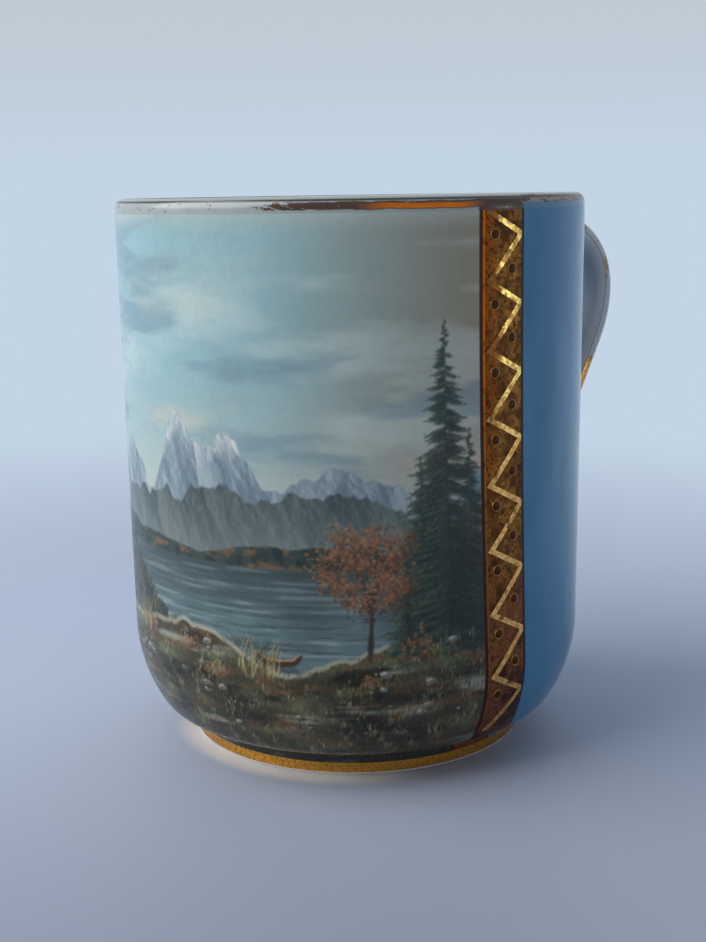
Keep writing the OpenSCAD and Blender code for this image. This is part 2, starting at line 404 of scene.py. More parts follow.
class Signal:
    """A value in a node tree, which takes arithmetic."""

    def __init__(self, nodes: "Nodes", socket: Socket) -> None:
        """Takes the value that a socket gives."""
        self.nodes, self.socket = nodes, socket

    def __add__(self, other: "Signal | float") -> "Signal":
        """Adds a value to this one."""
        return self.nodes.math("ADD", self, other)

    def __sub__(self, other: "Signal | float") -> "Signal":
        """Takes a value from this one."""
        return self.nodes.math("SUBTRACT", self, other)

    def __rsub__(self, other: float) -> "Signal":
        """Takes this value from a number."""
        return self.nodes.math("SUBTRACT", other, self)

    def __mul__(self, other: "Signal | float") -> "Signal":
        """Multiplies this value."""
        return self.nodes.math("MULTIPLY", self, other)

    def __truediv__(self, other: "Signal | float") -> "Signal":
        """Divides this value."""
        return self.nodes.math("DIVIDE", self, other)

    def __abs__(self) -> "Signal":
        """Drops this value's sign."""
        return self.nodes.math("ABSOLUTE", self)

    def spread(self, low: float, high: float, to_low: float = 0.0, to_high: float = 1.0) -> "Signal":
        """Eases this value, between two limits, on to a new range.

        Args:
            low: The first limit.
            high: The second one.
            to_low: What the first limit becomes.
            to_high: What the second one becomes.

        Returns:
            The eased value.
        """
        node = self.nodes.add("ShaderNodeMapRange", self, low, high, to_low, to_high,
                              interpolation_type="SMOOTHSTEP")
        return Signal(self.nodes, node.outputs[0])


class Nodes:
    """A node tree, with short calls for the nodes that the finishes and the room share."""

    def __init__(self, tree: bpy.types.NodeTree) -> None:
        """Takes the tree to add nodes to."""
        self.tree = tree

    def add(self, kind: str, *values: object, **settings: object) -> bpy.types.Node:
        """Adds a node.

        Args:
            kind: Its type.
            values: What its first sockets get.
            settings: Its own settings.

        Returns:
            The node.
        """
        node = self.tree.nodes.new(kind)
        for key, value in settings.items():
            setattr(node, key, value)
        for socket, value in zip(node.inputs, values):
            self.feed(socket, value)
        return node

    def feed(self, socket: Socket, value: object) -> None:
        """Links a socket to a value of the tree, or sets it to a number or a colour.

        Args:
            socket: The socket.
            value: What it gets.
        """
        value = value.socket if isinstance(value, Signal) else value
        if isinstance(value, Socket):
            self.tree.links.new(value, socket)
        else:
            socket.default_value = (*value, 1.0) if socket.type == "RGBA" else value

    def link(self, node: bpy.types.Node, **values: object) -> None:
        """Feeds a node's sockets by name, with _ for each space."""
        for key, value in values.items():
            self.feed(node.inputs[key.replace("_", " ")], value)

    def math(self, operation: str, *values: object) -> Signal:
        """Does arithmetic on one or two values or numbers."""
        return Signal(self, self.add("ShaderNodeMath", *values, operation=operation).outputs[0])

    def mix(self, share: object, first: object, second: object) -> Signal:
        """Mixes two colours by a share from 0, the first, to 1.

        Args:
            share: The share.
            first: The first colour.
            second: The second one.

        Returns:
            The mixed colour.
        """
        node = self.add("ShaderNodeMix", share, data_type="RGBA")
        sockets = (socket for socket in node.inputs if socket.type == "RGBA")
        for socket, value in zip(sockets, (first, second)):
            self.feed(socket, value)
        return Signal(self, next(socket for socket in node.outputs if socket.type == "RGBA"))

    def split(self, vector: Socket) -> tuple[Signal, ...]:
        """The x, y and z of a vector."""
        return tuple(Signal(self, socket) for socket in self.add("ShaderNodeSeparateXYZ", vector).outputs)


class Shader(Nodes):
    """The node tree of a material with one Principled shader."""

    def __init__(self, name: str) -> None:
        """Makes the material.

        Args:
            name: Its name.
        """
        self.material = bpy.data.materials.new(name)
        self.material.use_nodes = True
        super().__init__(self.material.node_tree)
        self.surface = self.tree.nodes["Principled BSDF"]
        self.place = self.add("ShaderNodeTexCoord").outputs["Object"]

    def set(self, **values: object) -> None:
        """Feeds the shader's sockets by name, with _ for each space."""
        self.link(self.surface, **values)

    def noise(self, size: float, detail: float = 3, roughness: float = 0.55,
              stretch: Place = (1, 1, 1)) -> Signal:
        """Cloudy noise from 0 to 1 on Object coordinates.

        Args:
            size: Size of its largest spots, in metres.
            detail: Octaves of finer spots.
            roughness: Strength of the finer spots.
            stretch: Scale of the coordinates along each axis.

        Returns:
            The noise.
        """
        node, place = self.add("ShaderNodeTexNoise"), self.place
        if stretch != (1, 1, 1):
            mapping = self.add("ShaderNodeMapping", place)
            self.link(mapping, Scale=stretch)
            place = mapping.outputs[0]
        self.link(node, Vector=place, Scale=1 / size, Detail=detail, Roughness=roughness)
        return Signal(self, node.outputs["Fac"])

    def bump(self, height: Signal, depth: float, strength: float = 1.0) -> None:
        """Lifts the surface by a height from 0 to 1 times a depth in metres.

        Args:
            height: The height.
            depth: The depth.
            strength: How much of it shows.
        """
        node = self.add("ShaderNodeBump")
        self.link(node, Height=height, Distance=depth, Strength=strength)
        self.set(Normal=node.outputs[0])

    def across(self, plan: "BandPlan") -> tuple[Signal, Signal]:
        """Finds places on either ornament band.

        Args:
            plan: Where the bands lie.

        Returns:
            The distance from the band's middle line towards the handle, and the height.
        """
        x, y, z = self.split(self.place)
        drop = 1.0 - z / plan.wall.height
        level = x * math.sin(plan.angle) - abs(y) * math.cos(plan.angle)
        return level - drop * drop * plan.drift, z


@dataclass(frozen=True, kw_only=True)
class Finish:
    """What a piece is covered with. Its sizes and colours are fields."""

    name: str

    def material(self) -> Material:
        """Builds the material.

        Returns:
            The new material.
        """
        shader = Shader(self.name)
        self.dress(shader)
        return shader.material

    def dress(self, shader: Shader) -> None:
        """Sets the shader, in each finish's own way."""
        raise NotImplementedError


@dataclass(frozen=True, kw_only=True)
class Porcelain(Finish):
    """Old white porcelain under a clear glaze, a little grey and faintly stained."""

    name: str = "glazed_porcelain"
    white: Colour = rgb(216, 216, 212)
    shade: Colour = rgb(200, 201, 198)
    stain: Colour = rgb(170, 150, 122)
    rough: Point = (0.09, 0.2)
    coat: float = 0.6

    def dress(self, shader: Shader) -> None:
        """Clouds the white, specks it with stains and glazes it.

        Args:
            shader: The new material's shader.
        """
        clouds = shader.mix(shader.noise(14 * MM).spread(0.35, 0.7), self.white, self.shade)
        specks = shader.noise(0.9 * MM, 2).spread(0.73, 0.8, 0.0, 0.55)
        shader.set(
            Base_Color=shader.mix(specks, clouds, self.stain),
            Roughness=shader.noise(5 * MM).spread(0.3, 0.75, *self.rough),
            Coat_Weight=self.coat, Coat_Roughness=GLAZE_ROUGHNESS, IOR=1.52)
        shader.bump(shader.noise(3.5 * MM, 2), 0.03 * MM)


@dataclass(frozen=True, kw_only=True)
class PictureEnamel(Finish):
    """A picture in fired enamels, with the grain of the brush and an uneven gloss."""

    name: str = "picture_enamel"

    def dress(self, shader: Shader) -> None:
        """Shades the colours that the picture's corners carry by strokes and grain.

        Args:
            shader: The new material's shader.
        """
        strokes, grain = shader.noise(1.4 * MM, 4, 0.6), shader.noise(0.25 * MM, 2)
        paint = shader.add("ShaderNodeAttribute", attribute_name=PAINT)
        painted = shader.add("ShaderNodeVectorMath", paint.outputs["Color"], operation="SCALE")
        shader.link(painted, Scale=(strokes * 0.08 + 0.96) * (grain * 0.06 + 0.97))
        shader.set(
            Base_Color=painted.outputs[0],
            Roughness=strokes.spread(*CLOUD, 0.2, 0.36),
            Coat_Weight=0.1, Coat_Roughness=GLAZE_ROUGHNESS, IOR=1.38)
        shader.bump(grain * 0.3 + strokes, 0.04 * MM, 0.4)


@dataclass(frozen=True, kw_only=True)
class BlueEnamel(Finish):
    """A plain blue ground, laid on with a soft pad and faintly clouded."""

    name: str = "blue_enamel"
    deep: Colour = rgb(56, 112, 152)
    light: Colour = rgb(70, 126, 166)
    rubbed: Colour = rgb(94, 146, 182)

    def dress(self, shader: Shader) -> None:
        """Streaks the blue and rubs it in spots.

        Args:
            shader: The new material's shader.
        """
        streaks = shader.noise(7 * MM, 3, 0.5, (1, 1, 0.35))
        body = shader.mix(streaks.spread(*CLOUD), self.deep, self.light)
        wear = shader.noise(1.2 * MM, 4, 0.7).spread(0.7, 0.82, 0.0, 0.3)
        shader.set(
            Base_Color=shader.mix(wear, body, self.rubbed),
            Roughness=shader.noise(3 * MM, 4).spread(*CLOUD, 0.1, 0.18), IOR=1.36)
        shader.bump(shader.noise(3 * MM, 2), 0.02 * MM)


@dataclass(frozen=True, kw_only=True)
class BandLustre(Finish):
    """Mottled brown-gold lustre under the zigzag, orange beside the picture and redder low down."""

    plan: "BandPlan"
    name: str = "band_lustre"
    brown: Colour = rgb(86, 52, 20)
    gold: Colour = rgb(146, 96, 40)
    dark: Colour = rgb(46, 24, 12)
    orange: Colour = rgb(128, 66, 16)
    low_red: Colour = rgb(128, 76, 52)
    red_z: Point = (10 * MM, 46 * MM)
    top_z: Point = (38 * MM, 66 * MM)
    orange_x: Point = (-2.6 * MM, -0.6 * MM)

    def dress(self, shader: Shader) -> None:
        """Mottles the lustre and stipples it.

        Args:
            shader: The new material's shader.
        """
        across, z = shader.across(self.plan)
        clouds, spots = shader.noise(2.6 * MM, 4, 0.65), shader.noise(0.6 * MM, 3, 0.65)
        body = shader.mix(clouds.spread(0.36, 0.68), self.brown, self.gold)
        near = across.spread(*self.orange_x, 0.9, 0.0) * z.spread(*self.top_z)
        body = shader.mix(near, body, self.orange)
        body = shader.mix(z.spread(*self.red_z, 0.85, 0.0), body, self.low_red)
        flecks = spots.spread(0.5, 0.66, 0.0, 0.8)
        pools = shader.noise(4 * MM, 4).spread(0.52, 0.64, 0.0, 0.8)
        shader.set(
            Base_Color=shader.mix(shader.math("MAXIMUM", flecks, pools), body, self.dark),
            Metallic=0.85, Roughness=spots.spread(*CLOUD, 0.34, 0.5), IOR=ENAMEL_IOR)
        shader.bump(spots * 0.6 + clouds, 0.04 * MM)


@dataclass(frozen=True, kw_only=True)
class LineEnamel(Finish):
    """The dark line along each side of a band: deep red beside the picture, near black beside the blue."""

    plan: "BandPlan"
    name: str = "line_enamel"
    red: Colour = rgb(62, 10, 8)
    black: Colour = rgb(24, 10, 12)

    def dress(self, shader: Shader) -> None:
        """Lets the red show by how thin the enamel is.

        Args:
            shader: The new material's shader.
        """
        across, _ = shader.across(self.plan)
        thin = shader.noise(1.6 * MM, 3)
        red = across.spread(-1 * MM, 1 * MM, 1.0, 0.2) * thin.spread(0.3, 0.6, 0.3, 1.0)
        shader.set(
            Base_Color=shader.mix(red, self.black, self.red),
            Roughness=thin.spread(*CLOUD, 0.28, 0.45), IOR=ENAMEL_IOR)
        shader.bump(thin, 0.03 * MM)


@dataclass(frozen=True, kw_only=True)
class DotEnamel(Finish):
    """Dots of dark brown enamel, a few rubbed down to a pale bed."""

    name: str = "dot_enamel"
    brown: Colour = rgb(66, 36, 14)
    pale: Colour = rgb(150, 146, 166)

    def dress(self, shader: Shader) -> None:
        """Rubs some of the dots.

        Args:
            shader: The new material's shader.
        """
        worn = shader.noise(2.4 * MM, 2).spread(0.66, 0.72, 0.0, 0.8)
        shader.set(
            Base_Color=shader.mix(worn, self.brown, self.pale), Metallic=worn.spread(0.0, 0.5, 0.7, 0.0),
            Roughness=shader.noise(0.6 * MM).spread(*CLOUD, 0.34, 0.5), IOR=ENAMEL_IOR)
        shader.bump(shader.noise(0.4 * MM), 0.02 * MM)


@dataclass(frozen=True, kw_only=True)
class Gilt(Finish):
    """Fired gold, rubbed away in patches down to what lies under it."""

    gold: Colour = rgb(226, 176, 92)
    dull: Colour = rgb(170, 116, 52)
    bare: Colour = rgb(206, 202, 192)
    dirt: Colour = rgb(66, 36, 20)
    worn_from: float = 0.62
    roughness: Point = (0.22, 0.4)
    patch: float = 3 * MM

    def rubbed(self, shader: Shader) -> Signal:
        """How much the gold is rubbed. It is worn away from worn_from on."""
        return shader.noise(self.patch, 5, 0.68)

    def dress(self, shader: Shader) -> None:
        """Lays the gold, wears it away and dirties the edges of what is left.

        Args:
            shader: The new material's shader.
        """
        rubbed, fine = self.rubbed(shader), shader.noise(0.5 * MM, 3, 0.6)
        gone = rubbed.spread(self.worn_from, self.worn_from + 0.05)
        edge = rubbed.spread(self.worn_from - 0.07, self.worn_from + 0.01)
        gold = shader.mix(fine.spread(*CLOUD), self.gold, self.dull)
        shader.set(
            Base_Color=shader.mix(gone, shader.mix(edge * 0.7, gold, self.dirt), self.bare),
            Metallic=1.0 - gone, Roughness=fine.spread(*CLOUD, *self.roughness))
        shader.bump(gone * -0.5 + fine, 0.02 * MM)


@dataclass(frozen=True, kw_only=True)
class HandleGilt(Gilt):
    """The handle's gold lines, kept low down and rubbed to dabs towards the hand."""

    rub_z: Point = (54 * MM, 67 * MM)
    rub: Point = (-0.16, 0.17)

    def rubbed(self, shader: Shader) -> Signal:
        """How much the gold is rubbed, more and more from rub_z up."""
        height = shader.split(shader.place)[2]
        return super().rubbed(shader) + height.spread(*self.rub_z, *self.rub)


@dataclass(frozen=True, kw_only=True)
class ZigzagGold(Finish):
    """Burnished gold on the zigzag, finely clouded and smudged at its points beside the picture."""

    plan: "BandPlan"
    name: str = "zigzag_gold"
    gold: Colour = rgb(244, 192, 118)
    # Painted highlight: a paler, yellower gold towards the rim stands in for glints of light on the upper
    # bars
    high: Colour = rgb(255, 222, 122)
    dull: Colour = rgb(200, 142, 78)
    smudge: Colour = rgb(112, 62, 22)
    dark: Colour = rgb(84, 52, 28)
    top_z: Point = (44 * MM, 72 * MM)
    smudge_x: Point = (-1.6 * MM, 0.2 * MM)
    ragged: float = 6 * MM

    def dress(self, shader: Shader) -> None:
        """Clouds the gold, brighter near the rim, and smudges it.

        Args:
            Clouds the gold, paints a highlight on it near the rim, and smudges it.
        """
        across, z = shader.across(self.plan)
        clouds, rubs = shader.noise(0.7 * MM, 3, 0.5), shader.noise(2.6 * MM, 4, 0.6)
        gold_with_painted_highlight = shader.mix(z.spread(*self.top_z), self.gold, self.high)
        gold = shader.mix(clouds.spread(0.35, 0.65), gold_with_painted_highlight, self.dull)
        gold = shader.mix(rubs.spread(0.54, 0.66, 0.0, 0.8), gold, self.dark)
        edge = (rubs - 0.5) * self.ragged + across
        worn = edge.spread(*self.smudge_x, 0.95, 0.0) * z.spread(*self.top_z)
        shader.set(
            Base_Color=shader.mix(worn, gold, self.smudge),
            Metallic=0.95, Roughness=clouds.spread(*CLOUD, 0.26, 0.4))
        shader.bump(rubs * 0.5 + clouds, 0.015 * MM)


@dataclass(frozen=True, kw_only=True)
class StripeLustre(Finish):
    """The stripe beside a band's line: orange lustre near the rim, plain brown further down."""

    name: str = "stripe_lustre"
    orange: Colour = rgb(176, 92, 24)
    brown: Colour = rgb(128, 82, 40)
    dark: Colour = rgb(72, 36, 18)
    fade_z: Point = (42 * MM, 72 * MM)

    def dress(self, shader: Shader) -> None:
        """Fades the orange out downwards and clouds the stripe.

        Args:
            shader: The new material's shader.
        """
        height, clouds = shader.split(shader.place)[2], shader.noise(2.2 * MM, 4, 0.65)
        body = shader.mix(height.spread(*self.fade_z), self.brown, self.orange)
        shader.set(
            Base_Color=shader.mix(clouds.spread(0.5, 0.66, 0.0, 0.75), body, self.dark),
            Metallic=0.85, Roughness=clouds.spread(*CLOUD, 0.32, 0.48), IOR=ENAMEL_IOR)
        shader.bump(clouds, 0.02 * MM)


@dataclass(frozen=True, kw_only=True)
class RimGilt(Finish):
    """The rim's worn gold: a brown film, orange where gold is left in it, and a dark line on the lip.

    Turns are angles from the handle. The pairs of cosines with them say where their effect starts
    and where it is full.
    """

    name: str = "rim_gilding"
    # The rim's bare porcelain is greyer than the body's white: painted shade on the rim's outside
    bare: Colour = rgb(156, 164, 163)
    brown: Colour = rgb(70, 42, 26)
    orange: Colour = rgb(214, 112, 22)
    # thin is a grey-pink tint where the film is worn thin, round thin_turn; it is also painted shade, darker
    # than the bare rim
    thin: Colour = rgb(150, 132, 126)
    blue: Colour = rgb(62, 116, 154)
    lip: Colour = rgb(48, 40, 38)
    film_z: Point = (92.1 * MM, 93.3 * MM)
    line_z: Point = (92.25 * MM, 93.0 * MM)
    lip_line: Point = (93.4 * MM, 93.72 * MM)
    soft: float = 0.12 * MM
    wobble: float = 0.6 * MM
    worn_turn: float = math.radians(176)
    worn_near: Point = (0.7, 0.86)
    thin_turn: float = math.radians(-38)
    thin_near: Point = (0.58, 0.7)
    orange_turn: float = math.radians(-113)
    orange_near: Point = (0.965, 0.995)
    band_turns: Point = (math.radians(87.6), math.radians(100.4))
    blue_rise: float = 0.6 * MM

    def dress(self, shader: Shader) -> None:
        """Wears the film away, lights up what gold is left and draws the lip's line.

        Args:
            shader: The new material's shader.
        """
        x, y, z = shader.split(shader.place)
        turn = shader.math("ARCTAN2", y, x)
        wobble = shader.noise(3 * MM, 3) - 0.5
        patches = shader.noise(1.3 * MM, 5, 0.72, (0.5, 0.5, 1.4))
        on_blue = shader.math("LESS_THAN", abs(turn), self.band_turns[0])
        height = wobble * self.wobble + (z - on_blue * self.blue_rise)
        # Where the film is worn thin and painted in shade
        thinned_and_shaded = self.toward(turn, self.thin_turn, self.thin_near)
        worn = shader.math("MAXIMUM", self.toward(turn, self.worn_turn, self.worn_near), thinned_and_shaded * 0.6)
        coated = self.between(height, self.film_z)
        film = coated * (worn * 0.26 + patches).spread(0.62, 0.68, 1.0, 0.0)
        gold = self.toward(turn, self.orange_turn, self.orange_near) * 0.85
        glow = self.between(height, self.line_z) * film * (gold + patches.spread(0.36, 0.44, 0.15, 0.0))
        outside = self.between(z, (0.0, self.lip_line[0]))
        ground = shader.mix(on_blue * outside, self.bare, self.blue)
        ground = shader.mix(self.between(abs(turn), self.band_turns) * outside, ground, self.brown)
        colour = shader.mix(film, shader.mix(thinned_and_shaded * coated, ground, self.thin), self.brown)
        colour = shader.mix(glow, colour, self.orange)
        shader.set(
            Base_Color=shader.mix(self.between(z, self.lip_line), colour, self.lip),
            Metallic=glow.spread(0.0, 1.0, 0.0, 0.9), Roughness=patches.spread(*CLOUD, 0.08, 0.32), IOR=1.5)
        shader.bump(film * 0.6 + patches, 0.02 * MM)

    def between(self, value: Signal, limits: Point) -> Signal:
        """Finds what lies between two limits, softly.

        Args:
            value: The value.
            limits: The limits.

        Returns:
            1 between them and 0 beyond.
        """
        low, high = limits
        return (value.spread(low - self.soft, low + self.soft)
                * value.spread(high - self.soft, high + self.soft, 1.0, 0.0))

    def toward(self, turn: Signal, middle: float, near: Point) -> Signal:
        """How near an angle round the cup is to a middle one, eased between two cosines."""
        return turn.nodes.math("COSINE", turn - middle).spread(*near)


@dataclass(frozen=True, kw_only=True)
class TableTop(Finish):
    """The plain pale floor, with painted shade in front of the cup and a painted pool of light beside its
    foot; away from the cup it runs out into a glow of the backdrop's colour.
    """

    backdrop: Colour
    forward: Vector
    right: Vector
    name: str = "pale_table"
    pale: Colour = rgb(172, 182, 202)
    # Painted shade: the table is darker in front of the cup, standing in for the cup's shadow there
    painted_shade: Colour = rgb(134, 140, 158)
    painted_shade_y: Point = (-130 * MM, 20 * MM)
    fade_r: Point = (90 * MM, 340 * MM)
    # The glow that blends the table into the backdrop is centred this far to the left, so the table on the
    # right glows more: painted light that lifts the cup's shadow there
    glow_centre_aside: float = -50 * MM
    # Painted light: a whiter patch of table round the left of the foot stands in for light that the glaze
    # throws there
    painted_light_pool: Colour = rgb(248, 249, 250)
    painted_light_pool_way: Point = (-0.64, -0.77)
    painted_light_pool_r: Point = (29.8 * MM, 34 * MM)

    def dress(self, shader: Shader) -> None:
        """Paints shade on the table in front, paints a pool of light beside the foot and blends the table
        into the backdrop.

        Args:
            shader: The new material's shader.
        """
        x, y, _ = shader.split(shader.place)
        ahead, aside = (x * axis.x + y * axis.y for axis in (self.forward, self.right))
        away, fade = (shader.math("SQRT", side * side + ahead * ahead)
                      for side in (aside, aside - self.glow_centre_aside))
        along = aside * self.painted_light_pool_way[0] + ahead * self.painted_light_pool_way[1]
        # Share of the painted pool of light beside the foot
        painted_light_share = (along / away).spread(0.4, 0.9) * away.spread(*self.painted_light_pool_r, 0.9, 0.0)
        table = shader.mix(ahead.spread(*self.painted_shade_y), self.painted_shade, self.pale)
        shader.set(
            Base_Color=shader.mix(painted_light_share, table, self.painted_light_pool),
            Roughness=shader.noise(60 * MM, 2).spread(*CLOUD, 0.5, 0.6))
        shader.bump(shader.noise(1.5 * MM, 2), 0.01 * MM)
        near, far = shader.surface.outputs[0], shader.add("ShaderNodeEmission", self.backdrop).outputs[0]
        mixed = shader.add("ShaderNodeMixShader", fade.spread(*self.fade_r), near, far)
        shader.link(shader.tree.nodes["Material Output"], Surface=mixed.outputs[0])


# Forms that the pieces lie on


def way(angle: float) -> Array:
    """A step of length 1 at an angle."""
    return np.array((math.cos(angle), math.sin(angle)))


def heading(step: Sequence[float]) -> float:
    """The angle of a step."""
    return math.atan2(step[1], step[0])


def arc(centre: Array, radius: float, start: float, end: float, steps: int) -> list[Point]:
    """Points along an arc, its end left out."""
    return [tuple(centre + radius * way(turn)) for turn in np.linspace(start, end, steps, endpoint=False)]


def mirrored(points: Sequence[Point]) -> list[Point]:
    """The same points on the other side of x = 0, last one first."""
    return [(-x, y) for x, y in reversed(points)]


@dataclass(frozen=True)
class WallForm:
    """The upright section of the cup's outside: lines and arcs that touch them.

    A place on it is given by y, measured up the surface and equal to the height on the straight wall.
    """

    rim_r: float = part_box("cup_body")[1][0]
    height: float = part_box("cup_body")[1][2]
    foot_r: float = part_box("foot_ring")[1][0]
    foot_h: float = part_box("cup_body")[0][2]
    paint_low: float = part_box("picture_panel")[0][2]
    paint_high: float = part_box("picture_panel")[1][2]
    taper: float = 1.2 * MM
    wall_t: float = 3 * MM
    turn_r: float = 25.6 * MM
    turn_angle: float = math.radians(31)
    heel_r: float = 5.5 * MM
    heel_steps: int = 12
    turn_steps: int = 14
    wall_steps: int = 8
    lip_steps: int = 16

    @property
    def lip_r(self) -> float:
        """Radius of the round lip."""
        return self.wall_t / 2

    @property
    def lip_c(self) -> Array:
        """Centre of the lip's round."""
        return np.array((self.rim_r - self.lip_r, self.height - self.lip_r))

    @property
    def turn_c(self) -> Array:
        """Centre of the slow turn below the straight wall."""
        rise = self.heel_r + (self.turn_r - self.heel_r) * math.sin(self.turn_angle)
        return np.array((self.rim_r - self.taper / 2 - self.turn_r, self.foot_h + rise))

    @property
    def heel_c(self) -> Array:
        """Centre of the tight turn into the base."""
        return self.turn_c + (self.turn_r - self.heel_r) * way(-self.turn_angle)

    @property
    def lean(self) -> float:
        """How far the straight wall leans out from upright."""
        rise = self.lip_c - self.turn_c
        return math.atan2(*rise) - math.asin((self.turn_r - self.lip_r) / math.hypot(*rise))

    @property
    def stops(self) -> tuple[float, ...]:
        """Where the parts of the section end.

        Returns:
            The lower y of the straight wall, the slow turn, the tight turn, the base and the paint.
        """
        turn = self.turn_c[1] - self.turn_r * math.sin(self.lean)
        heel = turn - self.turn_r * (self.turn_angle - self.lean)
        base = heel - self.heel_r * (math.pi / 2 - self.turn_angle)
        foot = base - (self.heel_c[0] - self.foot_r)
        return turn, heel, base, foot, foot - (self.foot_h - self.paint_low)

    @property
    def low_y(self) -> float:
        """The y where the paint ends on the foot ring."""
        return self.stops[-1]

    def lay(self, y: Array, depth: Array) -> tuple[Array, Array]:
        """Finds places on the outside.

        Args:
            y: Where they lie up the surface.
            depth: How far outside the porcelain they lie.

        Returns:
            Their radii and heights.
        """
        lean, turn, heel = self.lean, self.turn_c, self.heel_c
        turn_y, heel_y, base_y, foot_y, low_y = self.stops
        straight = np.maximum(y - turn_y, 0)
        slow = -lean - np.clip(turn_y - y, 0, turn_y - heel_y) / self.turn_r
        tight = -self.turn_angle - np.clip(heel_y - y, 0, heel_y - base_y) / self.heel_r
        on_heel = y < heel_y
        angle = np.where(on_heel, tight, slow)
        reach = np.where(on_heel, self.heel_r, self.turn_r) + depth
        r = np.where(on_heel, heel[0], turn[0]) + reach * np.cos(angle) + straight * math.sin(lean)
        z = np.where(on_heel, heel[1], turn[1]) + reach * np.sin(angle) + straight * math.cos(lean)
        inward = unit((base_y - y) / (base_y - foot_y))
        down = unit((foot_y - y) / (foot_y - low_y))
        r = r - inward * (heel[0] - self.foot_r - depth)
        z = z - down * (self.foot_h - depth - self.paint_low)
        return r, z

    def y_at(self, z: Array) -> Array:
        """Finds the y of heights on the wall or its turns.

        Args:
            z: The heights.

        Returns:
            Their y.
        """
        turn_y, heel_y, *_ = self.stops
        slow = np.arcsin(np.clip((z - self.turn_c[1]) / self.turn_r, -1, 1))
        tight = np.arcsin(np.clip((z - self.heel_c[1]) / self.heel_r, -1, 1))
        y = np.where(z < turn_y, turn_y + (slow + self.lean) * self.turn_r, z)
        return np.where(y < heel_y, heel_y + (tight + self.turn_angle) * self.heel_r, y)

    def line(self, depth: float) -> list[Point]:
        """The section from the base up to the lip.

        Args:
            depth: How far outside the porcelain it lies.

        Returns:
            Its corners.
        """
        heel = arc(self.heel_c, self.heel_r + depth, -math.pi / 2, -self.turn_angle, self.heel_steps)
        turn = arc(self.turn_c, self.turn_r + depth, -self.turn_angle, -self.lean, self.turn_steps)
        foot, top = (centre + (radius + depth) * way(-self.lean)
                     for centre, radius in ((self.turn_c, self.turn_r), (self.lip_c, self.lip_r)))
        shares = np.linspace(0, 1, self.wall_steps, endpoint=False)
        return heel + turn + [tuple(foot + (top - foot) * share) for share in shares]

    def lip(self, depth: float, start: float, end: float) -> list[Point]:
        """The section over the lip from one angle to another, both ends in it."""
        points = arc(self.lip_c, self.lip_r + depth, start, end, self.lip_steps)
        return points + [tuple(self.lip_c + (self.lip_r + depth) * way(end))]

    def inner_r(self, z: float) -> float:
        """Radius of the inside at a height on the straight wall."""
        return self.rim_r - self.wall_t - (self.lip_c[1] - z) * math.tan(self.lean)

    def wrap(self, piece: Piece, turn: Turn, by_height: bool = False) -> None:
        """Lays a piece drawn flat, x across, y up and z out, on the cup's outside.

        Args:
            piece: The flat piece.
            turn: Gives the angle round the cup of a distance across, at a radius and a height.
            by_height: Whether the piece's y are heights, and not measured up the surface.
        """
        x, y, depth = corners_of(piece).T
        r, z = self.lay(self.y_at(y) if by_height else y, depth)
        angle = turn(x, r, z)
        place_corners(piece, np.column_stack((r * np.cos(angle), r * np.sin(angle), z)))


@dataclass(frozen=True)
class BandPlan:
    """Where the two ornament bands lie, and how they drift towards the handle on their way down."""

    wall: WallForm
    angle: float = math.radians(94)
    width: float = 8.9 * MM
    drift: float = 2.8 * MM

    @property
    def picture_half(self) -> float:
        """Half the length round the rim between the bands on the picture's side."""
        return (math.pi - self.angle) * self.wall.rim_r - self.width / 2

    @property
    def blue_half(self) -> float:
        """Half the length round the rim between the bands on the handle's side."""
        return self.angle * self.wall.rim_r - self.width / 2

    def turn(self, across: Array | float, r: Array, z: Array) -> Array:
        """Angle from a band's upright middle to a distance across it, towards the handle."""
        return np.arcsin((across + self.drift * (1 - z / self.wall.height) ** 2) / r)

    def picture_turn(self, x: Array, r: Array, z: Array) -> Array:
        """Spreads a flat picture between the two bands, opposite the handle."""
        return math.pi + x / self.picture_half * (math.pi - self.angle + self.turn(-self.width / 2, r, z))

    def blue_turn(self, x: Array, r: Array, z: Array) -> Array:
        """Spreads a flat coat between the two bands, round the handle."""
        return x / self.blue_half * (self.angle - self.turn(self.width / 2, r, z))


